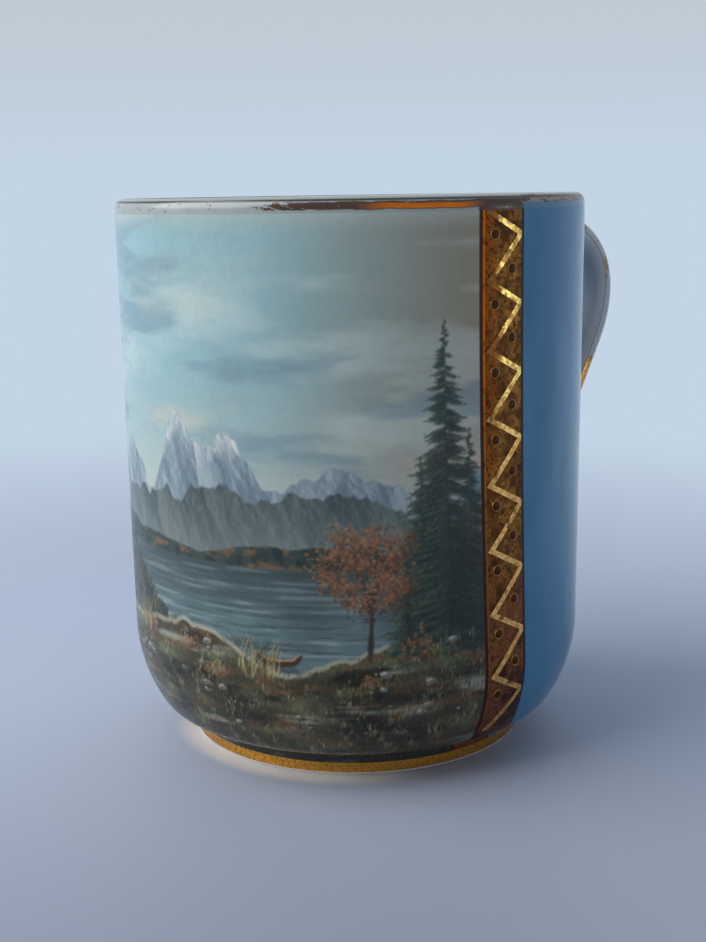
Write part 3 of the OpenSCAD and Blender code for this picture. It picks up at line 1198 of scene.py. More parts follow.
@dataclass(frozen=True)
class HandleForm:
    """The handle's centre line in the XZ plane and its oval section, upper end first."""

    wall: WallForm
    tip_x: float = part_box("handle")[1][0]
    top_z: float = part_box("handle")[1][2]
    crown_r: float = 15 * MM
    cheek_r: float = 22 * MM
    slant: float = math.radians(28)
    tail_turn: float = math.radians(28)
    tail_r: float = 12 * MM
    width: Point = (9 * MM, 7 * MM)
    thick: Point = (6 * MM, 5 * MM)
    flare: float = 3.5 * MM
    flare_len: float = 9 * MM
    sides: int = 40
    rings: int = 90

    @property
    def sink(self) -> float:
        """How far the bar's ends go into the wall, so that they lie wholly inside it."""
        end_w, end_t = (size[1] + self.flare for size in (self.width, self.thick))
        return end_t / 2 * math.cos(self.slant + self.tail_turn) + end_w ** 2 / (8 * self.wall.rim_r) + COAT_T

    @property
    def line_r(self) -> Point:
        """Radii of the centre line round the crown and round the cheek."""
        return self.crown_r - self.thick[0] / 2, self.cheek_r - self.thick[0] / 2

    @property
    def centres(self) -> tuple[Array, ...]:
        """Centres of the crown and of the cheek."""
        return tuple(np.array((self.tip_x - radius, self.top_z - self.crown_r))
                     for radius in (self.crown_r, self.cheek_r))

    @property
    def cheek_end(self) -> Array:
        """Where the cheek runs out into the slant."""
        return self.centres[1] + self.line_r[1] * way(-self.slant)

    @property
    def lengths(self) -> tuple[float, ...]:
        """Lengths of the centre line's parts.

        Returns:
            The stub's, the crown's, the cheek's, the slant's and the tail's.
        """
        wall_end = self.wall.rim_r - self.wall.taper / 2 - self.sink
        step = self.tail_r * (math.cos(self.slant + self.tail_turn) - math.cos(self.slant))
        return (
            self.centres[0][0] - (self.wall.rim_r - self.sink),
            self.line_r[0] * math.pi / 2,
            self.line_r[1] * self.slant,
            (self.cheek_end[0] + step - wall_end) / math.sin(self.slant),
            self.tail_r * self.tail_turn,
        )

    @property
    def length(self) -> float:
        """Length of the whole centre line."""
        return sum(self.lengths)

    def at(self, s: float) -> tuple[Array, float]:
        """Finds a place on the centre line.

        Args:
            s: Length along the line from its upper end.

        Returns:
            The place as x and z, and the line's heading there.
        """
        stub, crown, cheek, slant, _ = self.lengths
        if s < stub:
            return self.centres[0] + np.array((s - stub, self.line_r[0])), 0.0
        s -= stub
        arcs = zip((crown, cheek), (math.pi / 2, 0.0), self.centres, self.line_r)
        for length, start, centre, radius in arcs:
            if s < length:
                turn = start - s / radius
                return centre + radius * way(turn), turn - math.pi / 2
            s -= length
        down = np.array((math.sin(self.slant), math.cos(self.slant)))
        if s < slant:
            return self.cheek_end - s * down, -math.pi / 2 - self.slant
        turn = self.slant + (s - slant) / self.tail_r
        step = np.array((math.cos(turn) - math.cos(self.slant), math.sin(self.slant) - math.sin(turn)))
        return self.cheek_end - slant * down + self.tail_r * step, -math.pi / 2 - turn

    def bend(self, piece: Piece) -> None:
        """Bends a straight bar, z along it and x, y on a unit circle scaled by its skin, on to the line.

        Args:
            piece: The bar, z from 0 to the line's length. A corner that lies outside the unit
                circle by some metres lies as far outside the handle.
        """
        bar = corners_of(piece)
        laid = np.empty_like(bar)
        for row, (x, y, s) in enumerate(bar):
            place, slope = self.at(s)
            near_end = min(s, self.length - s) - self.sink
            grow = self.flare * min(1.0, max(0.0, 1 - near_end / self.flare_len)) ** 2
            share, radius = s / self.length, math.hypot(x, y)
            half_w, half_t = ((upper + (lower - upper) * share + grow) / 2 + (radius - 1)
                              for upper, lower in (self.width, self.thick))
            out = half_t * (y / radius)
            laid[row] = (place[0] - out * math.sin(slope), half_w * (x / radius),
                         place[1] + out * math.cos(slope))
        place_corners(piece, laid)
        with editing(piece):
            face_out()

    def bar(self, name: str, skin: float = 0.0) -> Piece:
        """Makes the handle's bar from wall to wall.

        Args:
            name: Name of the piece.
            skin: How far outside the handle it lies.

        Returns:
            The bar.
        """
        piece = primitive(name, bpy.ops.mesh.primitive_circle_add,
                          vertices=self.sides, radius=1 + skin, fill_type="NGON")
        with editing(piece):
            for _ in range(self.rings):
                extrude(0, 0, self.length / self.rings)
        self.bend(piece)
        return piece


@dataclass(frozen=True)
class GuardPlan:
    """The lip guard seen from above: two lobes, a hollow between them and the drinking slot."""

    wall: WallForm
    top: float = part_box("lip_guard")[1][2]
    reach: float = 33 * MM
    lobe_r: float = 16 * MM
    lobe_spacing: float = 36 * MM
    hollow_r: float = 12 * MM
    slot_r: float = 14 * MM
    slot_depth: float = 8.5 * MM
    lobe_steps: int = 24
    hollow_steps: int = 10
    slot_steps: int = 16
    wall_steps: int = 12

    @property
    def wall_r(self) -> float:
        """Radius of the cup's inside at the guard's top."""
        return self.wall.inner_r(self.top)

    @property
    def lobe(self) -> Array:
        """Centre of the lobe on the handle's side."""
        return np.array((self.lobe_spacing / 2, self.reach - self.wall_r - self.lobe_r))

    @property
    def hollow(self) -> Array:
        """Centre of the hollow's round."""
        rise = math.sqrt((self.lobe_r + self.hollow_r) ** 2 - self.lobe[0] ** 2)
        return np.array((0.0, self.lobe[1] + rise))

    @property
    def slot(self) -> Array:
        """Centre of the slot's round."""
        return np.array((0.0, self.slot_depth - self.wall_r - self.slot_r))

    def crossing(self, centre: Array, radius: float, wall_r: float) -> Array:
        """Finds where a circle meets the wall, to the right of the middle.

        Args:
            centre: The circle's centre.
            radius: Its radius.
            wall_r: Radius of the wall.

        Returns:
            The step there from the centre.
        """
        far = math.hypot(*centre)
        bend = math.acos((far ** 2 + wall_r ** 2 - radius ** 2) / (2 * far * wall_r))
        return wall_r * way(heading(centre) + bend) - centre

    def edge(self, inset: float, wall_r: float) -> list[Point]:
        """The guard's inner edge from the right wall to the left, drawn in by inset.

        Args:
            inset: The inset.
            wall_r: Radius of the wall that it ends on.

        Returns:
            Its corners.
        """
        lobe_r, hollow_r = self.lobe_r - inset, self.hollow_r + inset
        start, meet = heading(self.crossing(self.lobe, lobe_r, wall_r)), heading(self.hollow - self.lobe)
        half = arc(self.lobe, lobe_r, start, meet, self.lobe_steps)
        half += arc(self.hollow, hollow_r, meet - math.pi, -math.pi / 2, self.hollow_steps)
        return half + [tuple(self.hollow - (0, hollow_r))] + mirrored(half)

    def slot_edge(self, inset: float, wall_r: float) -> list[Point]:
        """The slot's edge from the left wall to the right, drawn away from it by inset.

        Args:
            inset: The inset.
            wall_r: Radius of the wall that it ends on.

        Returns:
            Its corners.
        """
        slot_r = self.slot_r + inset
        start = self.crossing(self.slot, slot_r, wall_r)
        right = arc(self.slot, slot_r, math.pi / 2, heading(start), self.slot_steps)
        right.append(tuple(self.slot + start))
        return mirrored(right[1:]) + right

    def outline(self, wall_r: float) -> list[Point]:
        """The whole outline, its outer side on a circle round the cup's axis.

        Args:
            wall_r: The circle's radius.

        Returns:
            Its corners.
        """
        edge, slot = self.edge(0.0, wall_r), self.slot_edge(0.0, wall_r)
        left, near = (heading(end) % math.tau for end in (edge[-1], slot[0]))
        first = arc(np.zeros(2), wall_r, left, near, self.wall_steps)[1:]
        return edge + first + slot + mirrored(first)


# The picture


def between(grid: Array, column: Array, row: Array, fx: Array, fy: Array) -> Array:
    """Blends a grid's values between neighbours.

    Args:
        grid: The values by row and column.
        column: Columns to the left of the places.
        row: Rows below the places.
        fx: Shares of the columns to their right.
        fy: Shares of the rows above them.

    Returns:
        The blended values.
    """
    low, high = (grid[line, column] * (1 - fx) + grid[line, column + 1] * fx for line in (row, row + 1))
    return low * (1 - fy) + high * fy


class Canvas:
    """A flat picture of fine squares, painted with washes and dabs of colour.

    Sizes are in millimetres, and colours are as a screen shows them, 0 to 255.
    """

    # Height of spots that stay the same all the way up
    tall: float = 1e3
    # How fast a dab covers from its edge inwards
    dab_edge: float = 2.2

    def __init__(self, low: Point, high: Point, pitch: float, seed: int) -> None:
        """Stretches the canvas.

        Args:
            low: Its lower left corner.
            high: Its upper right corner.
            pitch: Side of its squares.
            seed: Seed of all that is scattered on it.
        """
        self.low, self.pitch = np.array(low), pitch
        columns, rows = (math.ceil((b - a) / pitch) + 1 for a, b in zip(low, high))
        self.x = low[0] + pitch * np.arange(columns)[None, :]
        self.y = low[1] + pitch * np.arange(rows)[:, None]
        self.colour = np.zeros((rows, columns, 3))
        self.rng = np.random.default_rng(seed)

    def grain(self, width: float, height: float, octaves: int = 4) -> Array:
        """Cloudy noise from 0 to 1.

        Args:
            width: Width of its largest spots.
            height: Height of its largest spots.
            octaves: How many sizes of spots it has, each half as large as the last.

        Returns:
            The noise for each square.
        """
        total, weight = np.zeros(self.colour.shape[:2]), 0.0
        for octave in range(octaves):
            scale = 2.0 ** octave
            across = (self.x[0] - self.low[0]) * scale / width
            up = (self.y[:, 0] - self.low[1]) * scale / height
            lattice = self.rng.random((int(up[-1]) + 2, int(across[-1]) + 2))
            fx, fy = across % 1, up % 1
            total += between(lattice, across.astype(int)[None, :], up.astype(int)[:, None],
                             fx * fx * (3 - 2 * fx), (fy * fy * (3 - 2 * fy))[:, None]) / scale
            weight += 1 / scale
        return total / weight

    def edge(self, height: float, swing: float, length: float, octaves: int = 5) -> Array:
        """A ragged level line: a height for each column."""
        return height + swing * (self.grain(length, self.tall, octaves)[0] - 0.5)

    def sheared(self, field: Array, slope: float) -> Array:
        """Slants a field's upright streaks, so that they run down to one side."""
        rows, columns = np.indices(field.shape)
        return field[rows, (columns + (slope * rows).astype(int)) % field.shape[1]]

    def wash(self, share: Array | float, colour: Colour) -> None:
        """Lays a colour over the canvas by a share for each square."""
        share = unit(share)[..., None] if isinstance(share, Array) else share
        self.colour += share * (np.array(colour) / FULL - self.colour)

    def mottle(self, mask: Array | float, spots: Place, start: float, gain: float, colour: Colour,
               share: float = 1.0, most: float = 1.0) -> None:
        """Washes a colour over the light spots of a noise.

        Args:
            mask: Where the colour can lie.
            spots: The noise's width, height and octaves.
            start: Noise that the colour starts at.
            gain: How fast it grows with the noise.
            colour: The colour.
            share: How well it covers.
            most: Where its growth stops.
        """
        self.wash(mask * np.clip((self.grain(*spots) - start) * gain, 0, most) * share, colour)

    def dab(self, x: float, y: float, long: float, wide: float, turn: float, colour: Colour,
            share: float) -> None:
        """Sets down one soft oval dab.

        Args:
            x: Its middle across.
            y: Its middle up.
            long: Half its length.
            wide: Half its width.
            turn: Angle of its length from level.
            colour: Its colour.
            share: How well it covers.
        """
        column, row = (np.array((x, y)) - self.low) / self.pitch
        reach = int(max(long, wide) / self.pitch) + 2
        rows = slice(max(0, int(row) - reach), max(0, int(row) + reach + 1))
        columns = slice(max(0, int(column) - reach), max(0, int(column) + reach + 1))
        dx, dy = self.x[:, columns] - x, self.y[rows] - y
        along, off = dx * math.cos(turn) + dy * math.sin(turn), dy * math.cos(turn) - dx * math.sin(turn)
        near = 1 - np.hypot(along / long, off / wide)
        cover = unit(near * self.dab_edge)[..., None] * share
        patch = self.colour[rows, columns]
        patch += cover * (np.array(colour) / FULL - patch)

    def stroke(self, points: list[Point], start: float, end: float, colour: Colour, share: float) -> None:
        """Draws a line that thins from one width to another.

        Args:
            points: The line's corners.
            start: Half its first width.
            end: Half its last width.
            colour: Its colour.
            share: How well it covers.
        """
        for (ax, ay), (bx, by), part in zip(points, points[1:], np.linspace(0, 1, len(points) - 1)):
            long, wide = math.hypot(bx - ax, by - ay), start + (end - start) * part
            turn = math.atan2(by - ay, bx - ax)
            self.dab((ax + bx) / 2, (ay + by) / 2, long * 0.75 + wide, wide, turn, colour, share)

    def light_at(self, x: Array, y: Array) -> Array:
        """Reads the picture between its squares.

        Args:
            x: Places across.
            y: Places up.

        Returns:
            The colours there as linear light.
        """
        rows, columns, _ = self.colour.shape
        across, up = ((at - low) / self.pitch for at, low in zip((x, y), self.low))
        column = np.clip(across.astype(int), 0, columns - 2)
        row = np.clip(up.astype(int), 0, rows - 2)
        shares = (unit(at - cell)[:, None] for at, cell in ((across, column), (up, row)))
        return to_light(unit(between(self.colour, column, row, *shares)))


def tint(first: Colour, second: Colour, share: float) -> Colour:
    """Mixes two colours by a share from 0, the first, to 1."""
    return tuple(a + (b - a) * share for a, b in zip(first, second))


@dataclass
class LakePicture:
    """A lake among hills in autumn: sky, peaks, water, firs and a grassy bank, painted back to front."""

    canvas: Canvas
    shore: float = 38.0
    summit: float = 20.0
    left: float = -55.0
    right: float = 55.0
    dusk: Colour = (72, 82, 84)
    bark: Colour = (54, 42, 34)
    fir_green: Tones = ((26, 40, 38), (112, 130, 100))
    rust: Tones = ((76, 44, 32), (176, 126, 82))
    moss: Tones = ((34, 46, 36), (128, 142, 92))
    straw: Tones = ((62, 54, 36), (190, 180, 138))
    reed: Tones = ((58, 54, 34), (196, 178, 122))
    rock: Tones = ((88, 84, 78), (176, 168, 152))
    # Base, height and length of each range, and its colours in shade and in light
    ranges: tuple[tuple[float, float, float, Colour, Colour], ...] = (
        (9, 17, 26, (104, 124, 138), (164, 178, 184)), (4, 9, 17, (58, 72, 76), (108, 118, 112)))
    # Place across, foot and height of each fir
    firs: tuple[Place, ...] = (
        (53.6, 23, 36), (45.4, 25, 30), (49.6, 22, 54), (42.6, 24, 17), (-42, 27, 40), (-47, 26, 30))
    slope_leaves: int = 3000
    slope_rocks: int = 34
    tree_clumps: int = 44
    clump_leaves: int = 20
    bush_count: int = 30
    bush_leaves: int = 60
    stone_count: int = 46
    grass_blades: int = 6500
    reed_count: int = 46

    def paint(self) -> None:
        """Paints the whole picture."""
        for layer in (self.sky, self.mountains, self.far_woods, self.lake, self.slope, self.bank):
            layer()
        for fir in self.firs:
            self.fir(*fir)
        self.leaf_tree(37.0, 24.0, 22.0, self.rust)
        self.leaf_tree(-31.0, 25.0, 30.0, self.moss)
        self.bushes()
        self.boat(22.5, 22.4)
        self.stones()
        self.grass()
        self.reeds(19.0)
        self.reeds(-8.0)
        self.close()

    def sky(self) -> None:
        """Washes in the sky, greyer to the right and paler low down, with soft clouds."""
        c = self.canvas
        up = (c.y - self.shore) / (c.y.max() - self.shore) + 0 * c.x
        c.wash(1.0, (146, 181, 187))
        c.wash(unit((c.x - 20) / 34) ** 1.3 * 0.95 + 0 * c.y, (144, 134, 116))
        c.wash(unit(1 - up * 1.7) ** 1.3, (198, 196, 182))
        c.mottle(1.0, (34, 9, 5), 0.5, 4, (198, 212, 208), most=0.5)
        c.mottle(unit(1.4 - abs(up - 0.6) * 1.6), (26, 6, 5), 0.5, 5, (110, 138, 154), most=0.5)
        c.mottle(unit(1.2 - up * 1.2), (30, 7, 4), 0.55, 4, (216, 198, 174), most=0.5)
        c.wash(unit((c.y - c.y.max() + 3.3) / 2.8) ** 1.5 * 0.6 + 0 * c.x, (180, 188, 184))

    def mountains(self) -> None:
        """Paints two ranges of peaks, lit from the left and hazy at their feet."""
        c = self.canvas
        for base, tall, length, dark, pale in self.ranges:
            crags = abs(2 * c.grain(length, c.tall, 6)[0] - 1)
            hills = np.exp(-((c.x[0] - self.summit) / 34) ** 2)
            ridge = self.shore + base + tall * (0.35 + 0.65 * hills) * (1 - 1.7 * crags)
            depth = ridge[None, :] - c.y
            inside = unit(depth / 0.4)
            folds = c.sheared(abs(2 * c.grain(11, 17, 6) - 1), 0.35)
            slant = np.gradient(folds, axis=1)
            light = unit(0.5 + 0.32 * slant / slant.std())
            c.wash(inside, dark)
            c.wash(inside * light * 0.85, pale)
            snow = unit(1.2 - depth / 5 - 2 * folds) * unit((ridge - self.shore - 15) / 5)
            c.wash(inside * snow * (0.25 + 0.6 * light), (226, 228, 222))
            haze = unit(1.05 - (c.y - self.shore) / 12) ** 1.2
            c.wash(inside * haze * 0.55, (140, 154, 154))

    def far_woods(self) -> None:
        """Sets a line of distant woods along the far shore, dark and rusty in places."""
        c = self.canvas
        top = c.edge(self.shore + 2.6, 5.5, 16, 7)
        wood = unit((top[None, :] - c.y) / 0.3) * (c.y > self.shore - 0.6)
        c.wash(wood * 0.95, (50, 64, 60))
        c.mottle(wood, (0.9, 1.6, 3), 0.5, 5, (30, 42, 40), 0.7)
        c.mottle(wood, (2.0, 1.2, 3), 0.56, 6, (136, 96, 60), 0.7)

    def lake(self) -> None:
        """Lays the water with its reflections and level ripples."""
        c = self.canvas
        water = unit((self.shore - 0.2 - c.y) / 0.3) + 0 * c.x
        down = unit((self.shore - c.y) / 18)
        c.wash(water, (108, 132, 138))
        image = unit(1 - (self.shore - c.y) / (5 + 16 * c.grain(6, 40, 4)))
        c.wash(water * image * 0.8, (46, 60, 62))
        c.wash(water * down * 0.55, (78, 100, 104))
        ripple = c.grain(9, 0.55, 4)
        c.wash(water * np.clip((ripple - 0.55) * 6, 0, 0.8) * (0.3 + 0.4 * down), (176, 192, 190))
        c.wash(water * np.clip((0.42 - ripple) * 6, 0, 0.7) * (0.3 + 0.6 * down), (44, 60, 64))

    def slope(self) -> None:
        """Builds up the wooded slope that comes down to the water on the left, with rocks at its foot."""
        c, rng = self.canvas, self.canvas.rng
        crest = 22.5 + 21 * unit((9 - c.x) / 30) ** 1.1 * unit((c.x + 44) / 20)
        crest = crest + c.edge(0, 5, 4, 6)[None, :]
        c.wash(unit((crest - c.y) / 0.6) * (c.x < 12), (38, 50, 42))
        for part in np.sort(rng.random(self.slope_leaves))[::-1]:
            x = rng.uniform(-42, 10)
            y = 21 + (crest[0, int((x - c.low[0]) / c.pitch)] + 0.6 - 21) * part
            light = unit(0.25 + 0.3 * math.sin(x * 1.3 + y * 0.9) + rng.normal(0, 0.2))
            long = rng.uniform(0.2, 0.55)
            leaves = self.rust if rng.random() < 0.1 else self.moss
            c.dab(x, y, long, long * rng.uniform(0.5, 0.9), rng.uniform(0, math.pi),
                  tint(*leaves, light * 0.85), rng.uniform(0.5, 0.9))
        for _ in range(self.slope_rocks):
            x, y = rng.uniform(-20, 8), rng.uniform(21.5, 25)
            c.dab(x, y, rng.uniform(0.6, 1.5), rng.uniform(0.3, 0.6), rng.normal(0.2, 0.2),
                  tint(*self.rock, rng.random()), 0.85)

    def bank_top(self, x: Array | float) -> Array | float:
        """Height of the near bank's edge against the water."""
        bay = np.exp(-((x - 22) / 10) ** 2) * 6.5
        return 26.0 + 1.8 * np.sin(x / 9) - bay + 2.6 * np.exp(-((x - 50) / 9) ** 2)

    def bank(self) -> None:
        """Lays the ground of the near bank, darker towards the foot."""
        c = self.canvas
        top = self.bank_top(c.x) + c.edge(0, 2.0, 3, 5)[None, :]
        ground = unit((top - c.y) / 0.5)
        c.wash(unit((top + 0.9 - c.y) / 0.5) * 0.75, (176, 168, 144))
        c.wash(ground, (62, 60, 42))
        c.mottle(ground, (7, 2.2, 5), 0.48, 5, (28, 26, 20), 0.9)
        c.mottle(ground, (9, 2.6, 5), 0.52, 5, (108, 112, 82), 0.7)
        c.mottle(ground, (6, 1.8, 5), 0.57, 6, (112, 72, 42), 0.7)
        c.mottle(ground, (16, 2.2, 5), 0.57, 8, (164, 166, 152), 0.75)
        c.wash(ground * np.clip((9 - c.y) / 12, 0, 0.6), (32, 32, 28))

    def fir(self, x: float, foot: float, height: float) -> None:
        """Paints one fir from its tip down, in loose drooping boughs.

        Args:
            x: Its place across.
            foot: Height of its foot.
            height: Its own height.
        """
        c, rng = self.canvas, self.canvas.rng
        trunk = [(x, foot), (x + 0.1, foot + height * 0.4), (x, foot + 0.8 * height)]
        c.stroke(trunk, 0.5, 0.1, (50, 40, 34), 0.9)
        boughs = int(height * 4)
        for bough in range(boughs):
            part = (bough + rng.random()) / boughs
            y = foot + height * (1 - 0.94 * part)
            side = rng.choice((-1, 1))
            reach = (0.12 + height * 0.19 * part ** 0.85) * rng.uniform(0.4, 1.15)
            droop, sprays, size = rng.uniform(0.15, 0.5), 5 + int(reach * 5), 0.1 + 0.2 * part
            c.dab(x + side * 0.35 * reach, y - 0.35 * droop * reach - 0.2, 0.55 * reach, 0.2 + 0.12 * reach,
                  -droop * side, self.fir_green[0], 0.6)
            for spray in range(sprays):
                out = reach * (spray + rng.random()) / sprays
                light = unit(rng.normal(0.18, 0.15) - 0.14 * side + 0.25 * out / reach)
                lift = rng.normal(0, 0.12 + 0.1 * part)
                c.dab(x + side * out, y - droop * out + lift, size + 0.05 * reach,
                      size * rng.uniform(0.45, 0.8), -side * rng.uniform(-0.2, 1.1),
                      tint(*self.fir_green, light), rng.uniform(0.5, 0.85))

    def leaf_tree(self, x: float, foot: float, height: float, leaves: Tones) -> None:
        """Paints a broad tree: a forked trunk under loose clumps of leaves.

        Args:
            x: Its place across.
            foot: Height of its foot.
            height: Its own height.
            leaves: The darkest and the lightest colour of its leaves.
        """
        c, rng, fork = self.canvas, self.canvas.rng, foot + 0.3 * height
        c.stroke([(x - 0.3, foot), (x, foot + 0.15 * height), (x + 0.2, fork)], 0.6, 0.42, self.bark, 0.95)
        turns = rng.uniform(0, math.tau, self.tree_clumps)
        reaches = np.sqrt(rng.random(self.tree_clumps))
        clumps = np.column_stack((x + 0.33 * height * reaches * np.cos(turns),
                                  fork + 0.36 * height + 0.33 * height * reaches * np.sin(turns)))
        clumps = clumps[np.argsort(-clumps[:, 0])]
        for clump in clumps[::3]:
            middle = (x + 0.25 * (clump[0] - x), fork + 0.45 * (clump[1] - fork))
            c.stroke([(x + 0.2, fork), middle, tuple(clump)], 0.24, 0.07, self.bark, 0.85)
        for layer in (0.12, 0.42, 0.7):
            lift = (layer - 0.3) * 0.04 * height
            for clump in np.repeat(clumps, self.clump_leaves, axis=0):
                dx, dy = rng.normal(0, 0.055 * height, 2)
                light = unit(layer + 0.12 * (dy - dx) + rng.normal(0, 0.14))
                long = rng.uniform(0.16, 0.42)
                c.dab(clump[0] + dx - lift, clump[1] + dy * 0.75 + lift, long, long * rng.uniform(0.5, 0.85),
                      rng.uniform(0, math.pi), tint(*leaves, light), rng.uniform(0.45, 0.85))

    def bushes(self) -> None:
        """Dots low bushes along the bank, green ones and rusty ones, but none by the boat."""
        c, rng = self.canvas, self.canvas.rng
        for _ in range(self.bush_count):
            x = rng.uniform(self.left, self.right)
            if abs(x - 24) < 8:
                continue
            foot = self.bank_top(x) - rng.uniform(0, 7)
            leaves = (self.rust, self.moss, self.moss)[rng.integers(3)]
            size = rng.uniform(0.9, 2.2)
            for _ in range(self.bush_leaves):
                dx, dy = rng.normal(0, size * 0.7), abs(rng.normal(0, size * 0.6))
                light = unit(0.2 + 0.5 * dy / size - 0.12 * dx / size + rng.normal(0, 0.15))
                c.dab(x + dx, foot + dy, 0.38, 0.24, rng.uniform(0, math.pi), tint(*leaves, light), 0.8)

    def boat(self, x: float, y: float) -> None:
        """Draws a small rowing boat at the water's edge, with its reflection.

        Args:
            x: Its place across.
            y: Height of its keel.
        """
        c = self.canvas
        hull = [(x - 3.2, y + 1.0), (x - 2.2, y + 0.25), (x, y), (x + 2.2, y + 0.25), (x + 3.2, y + 1.1)]
        c.stroke([(px, 2 * y - py - 0.5) for px, py in hull], 0.7, 0.6, (70, 82, 84), 0.6)
        c.stroke(hull, 0.75, 0.62, (66, 42, 30), 0.95)
        c.stroke([(px, py + 0.5) for px, py in hull], 0.22, 0.2, (186, 148, 104), 0.9)
        c.stroke([(x - 1.0, y + 0.9), (x - 0.8, y + 0.4)], 0.3, 0.25, (150, 96, 58), 0.8)

    def stones(self) -> None:
        """Sets grey stones in the grass, light above and dark below."""
        c, rng = self.canvas, self.canvas.rng
        for _ in range(self.stone_count):
            x = rng.uniform(self.left, self.right)
            y = self.bank_top(x) - rng.uniform(0.3, 14)
            size = rng.uniform(0.4, 1.3)
            c.dab(x + 0.2, y - 0.35 * size, size * 1.15, size * 0.55, 0, (40, 38, 32), 0.8)
            c.dab(x, y, size, size * 0.62, rng.normal(0, 0.2), (112, 112, 106), 0.95)
            c.dab(x - 0.22 * size, y + 0.24 * size, size * 0.6, size * 0.27, 0.3, (190, 192, 182), 0.8)

    def grass(self) -> None:
        """Strokes in the grass from the water's edge forward, longer towards the foot."""
        c, rng = self.canvas, self.canvas.rng
        for part in np.sort(rng.random(self.grass_blades)):
            x = rng.uniform(self.left - 1, self.right + 1)
            y = self.bank_top(x) - 0.4 - part * 20
            if y < 1.5 + rng.uniform(0, 3):
                continue
            tall, lean = rng.uniform(0.6, 1.5) * (0.7 + 1.1 * part), rng.normal(0.08, 0.25)
            clump = 0.5 + 0.5 * math.sin(x * 0.9 + 3 * math.sin(x * 0.23 + y * 0.4))
            light = unit(clump * 0.75 + rng.normal(0, 0.2) - 0.25 * part)
            blade = (self.straw, self.moss, self.straw)[rng.integers(3)]
            c.dab(x + lean * tall / 2, y + tall / 2, tall / 2, 0.085 + 0.05 * part,
                  math.pi / 2 - lean, tint(*blade, light), 0.75)

    def reeds(self, x: float) -> None:
        """Stands a tuft of tall reeds in the shallows.

        Args:
            x: Its place across.
        """
        c, rng = self.canvas, self.canvas.rng
        for _ in range(self.reed_count):
            foot = (x + rng.normal(0, 1.7), self.bank_top(x) - rng.uniform(0.2, 2.0))
            tall, lean = rng.uniform(2.4, 6.0), rng.normal(0.06, 0.16)
            tip = (foot[0] + tall * math.sin(lean * 2), foot[1] + tall)
            middle = (foot[0] + tall * 0.5 * math.sin(lean), foot[1] + tall * 0.5)
            c.stroke([foot, middle, tip], 0.13, 0.07, tint(*self.reed, rng.random()), 0.85)

    def close(self) -> None:
        """Darkens the foot and softens the whole with a thin glaze."""
        c = self.canvas
        c.wash(np.clip((4.5 - c.y) / 5, 0, 0.82) + 0 * c.x, (46, 48, 42))
        c.mottle(np.clip((3.5 - c.y) / 3, 0, 0.6), (8, 1.0, 3), 0.52, 5, (104, 116, 104))
        c.mottle(1.0, (12, 12, 3), 0.5, 1, self.dusk, 0.2)


# The cup's pieces


@dataclass(kw_only=True)
class SubAssembly:
    """A group of pieces that is built, dressed and hung on the cup."""

    wall: WallForm

    def build(self) -> None:
        """Builds, dresses and hangs the pieces, in each group's own way."""
        raise NotImplementedError

    def hang(self, piece: Piece, material: Material, slot: Slot, *nodes: str) -> None:
        """Dresses a piece and hangs it on the cup.

        Args:
            piece: The finished piece.
            material: Its material.
            slot: The record's slot that its finish comes from; not used.
            nodes: The nodes that it stands for.
        """
        piece.data.materials.clear()
        piece.data.materials.append(material)
        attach(piece, ROOT)
        if nodes:
            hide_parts(*nodes)
        log.info("%s: %d faces", piece.name, len(piece.data.polygons))


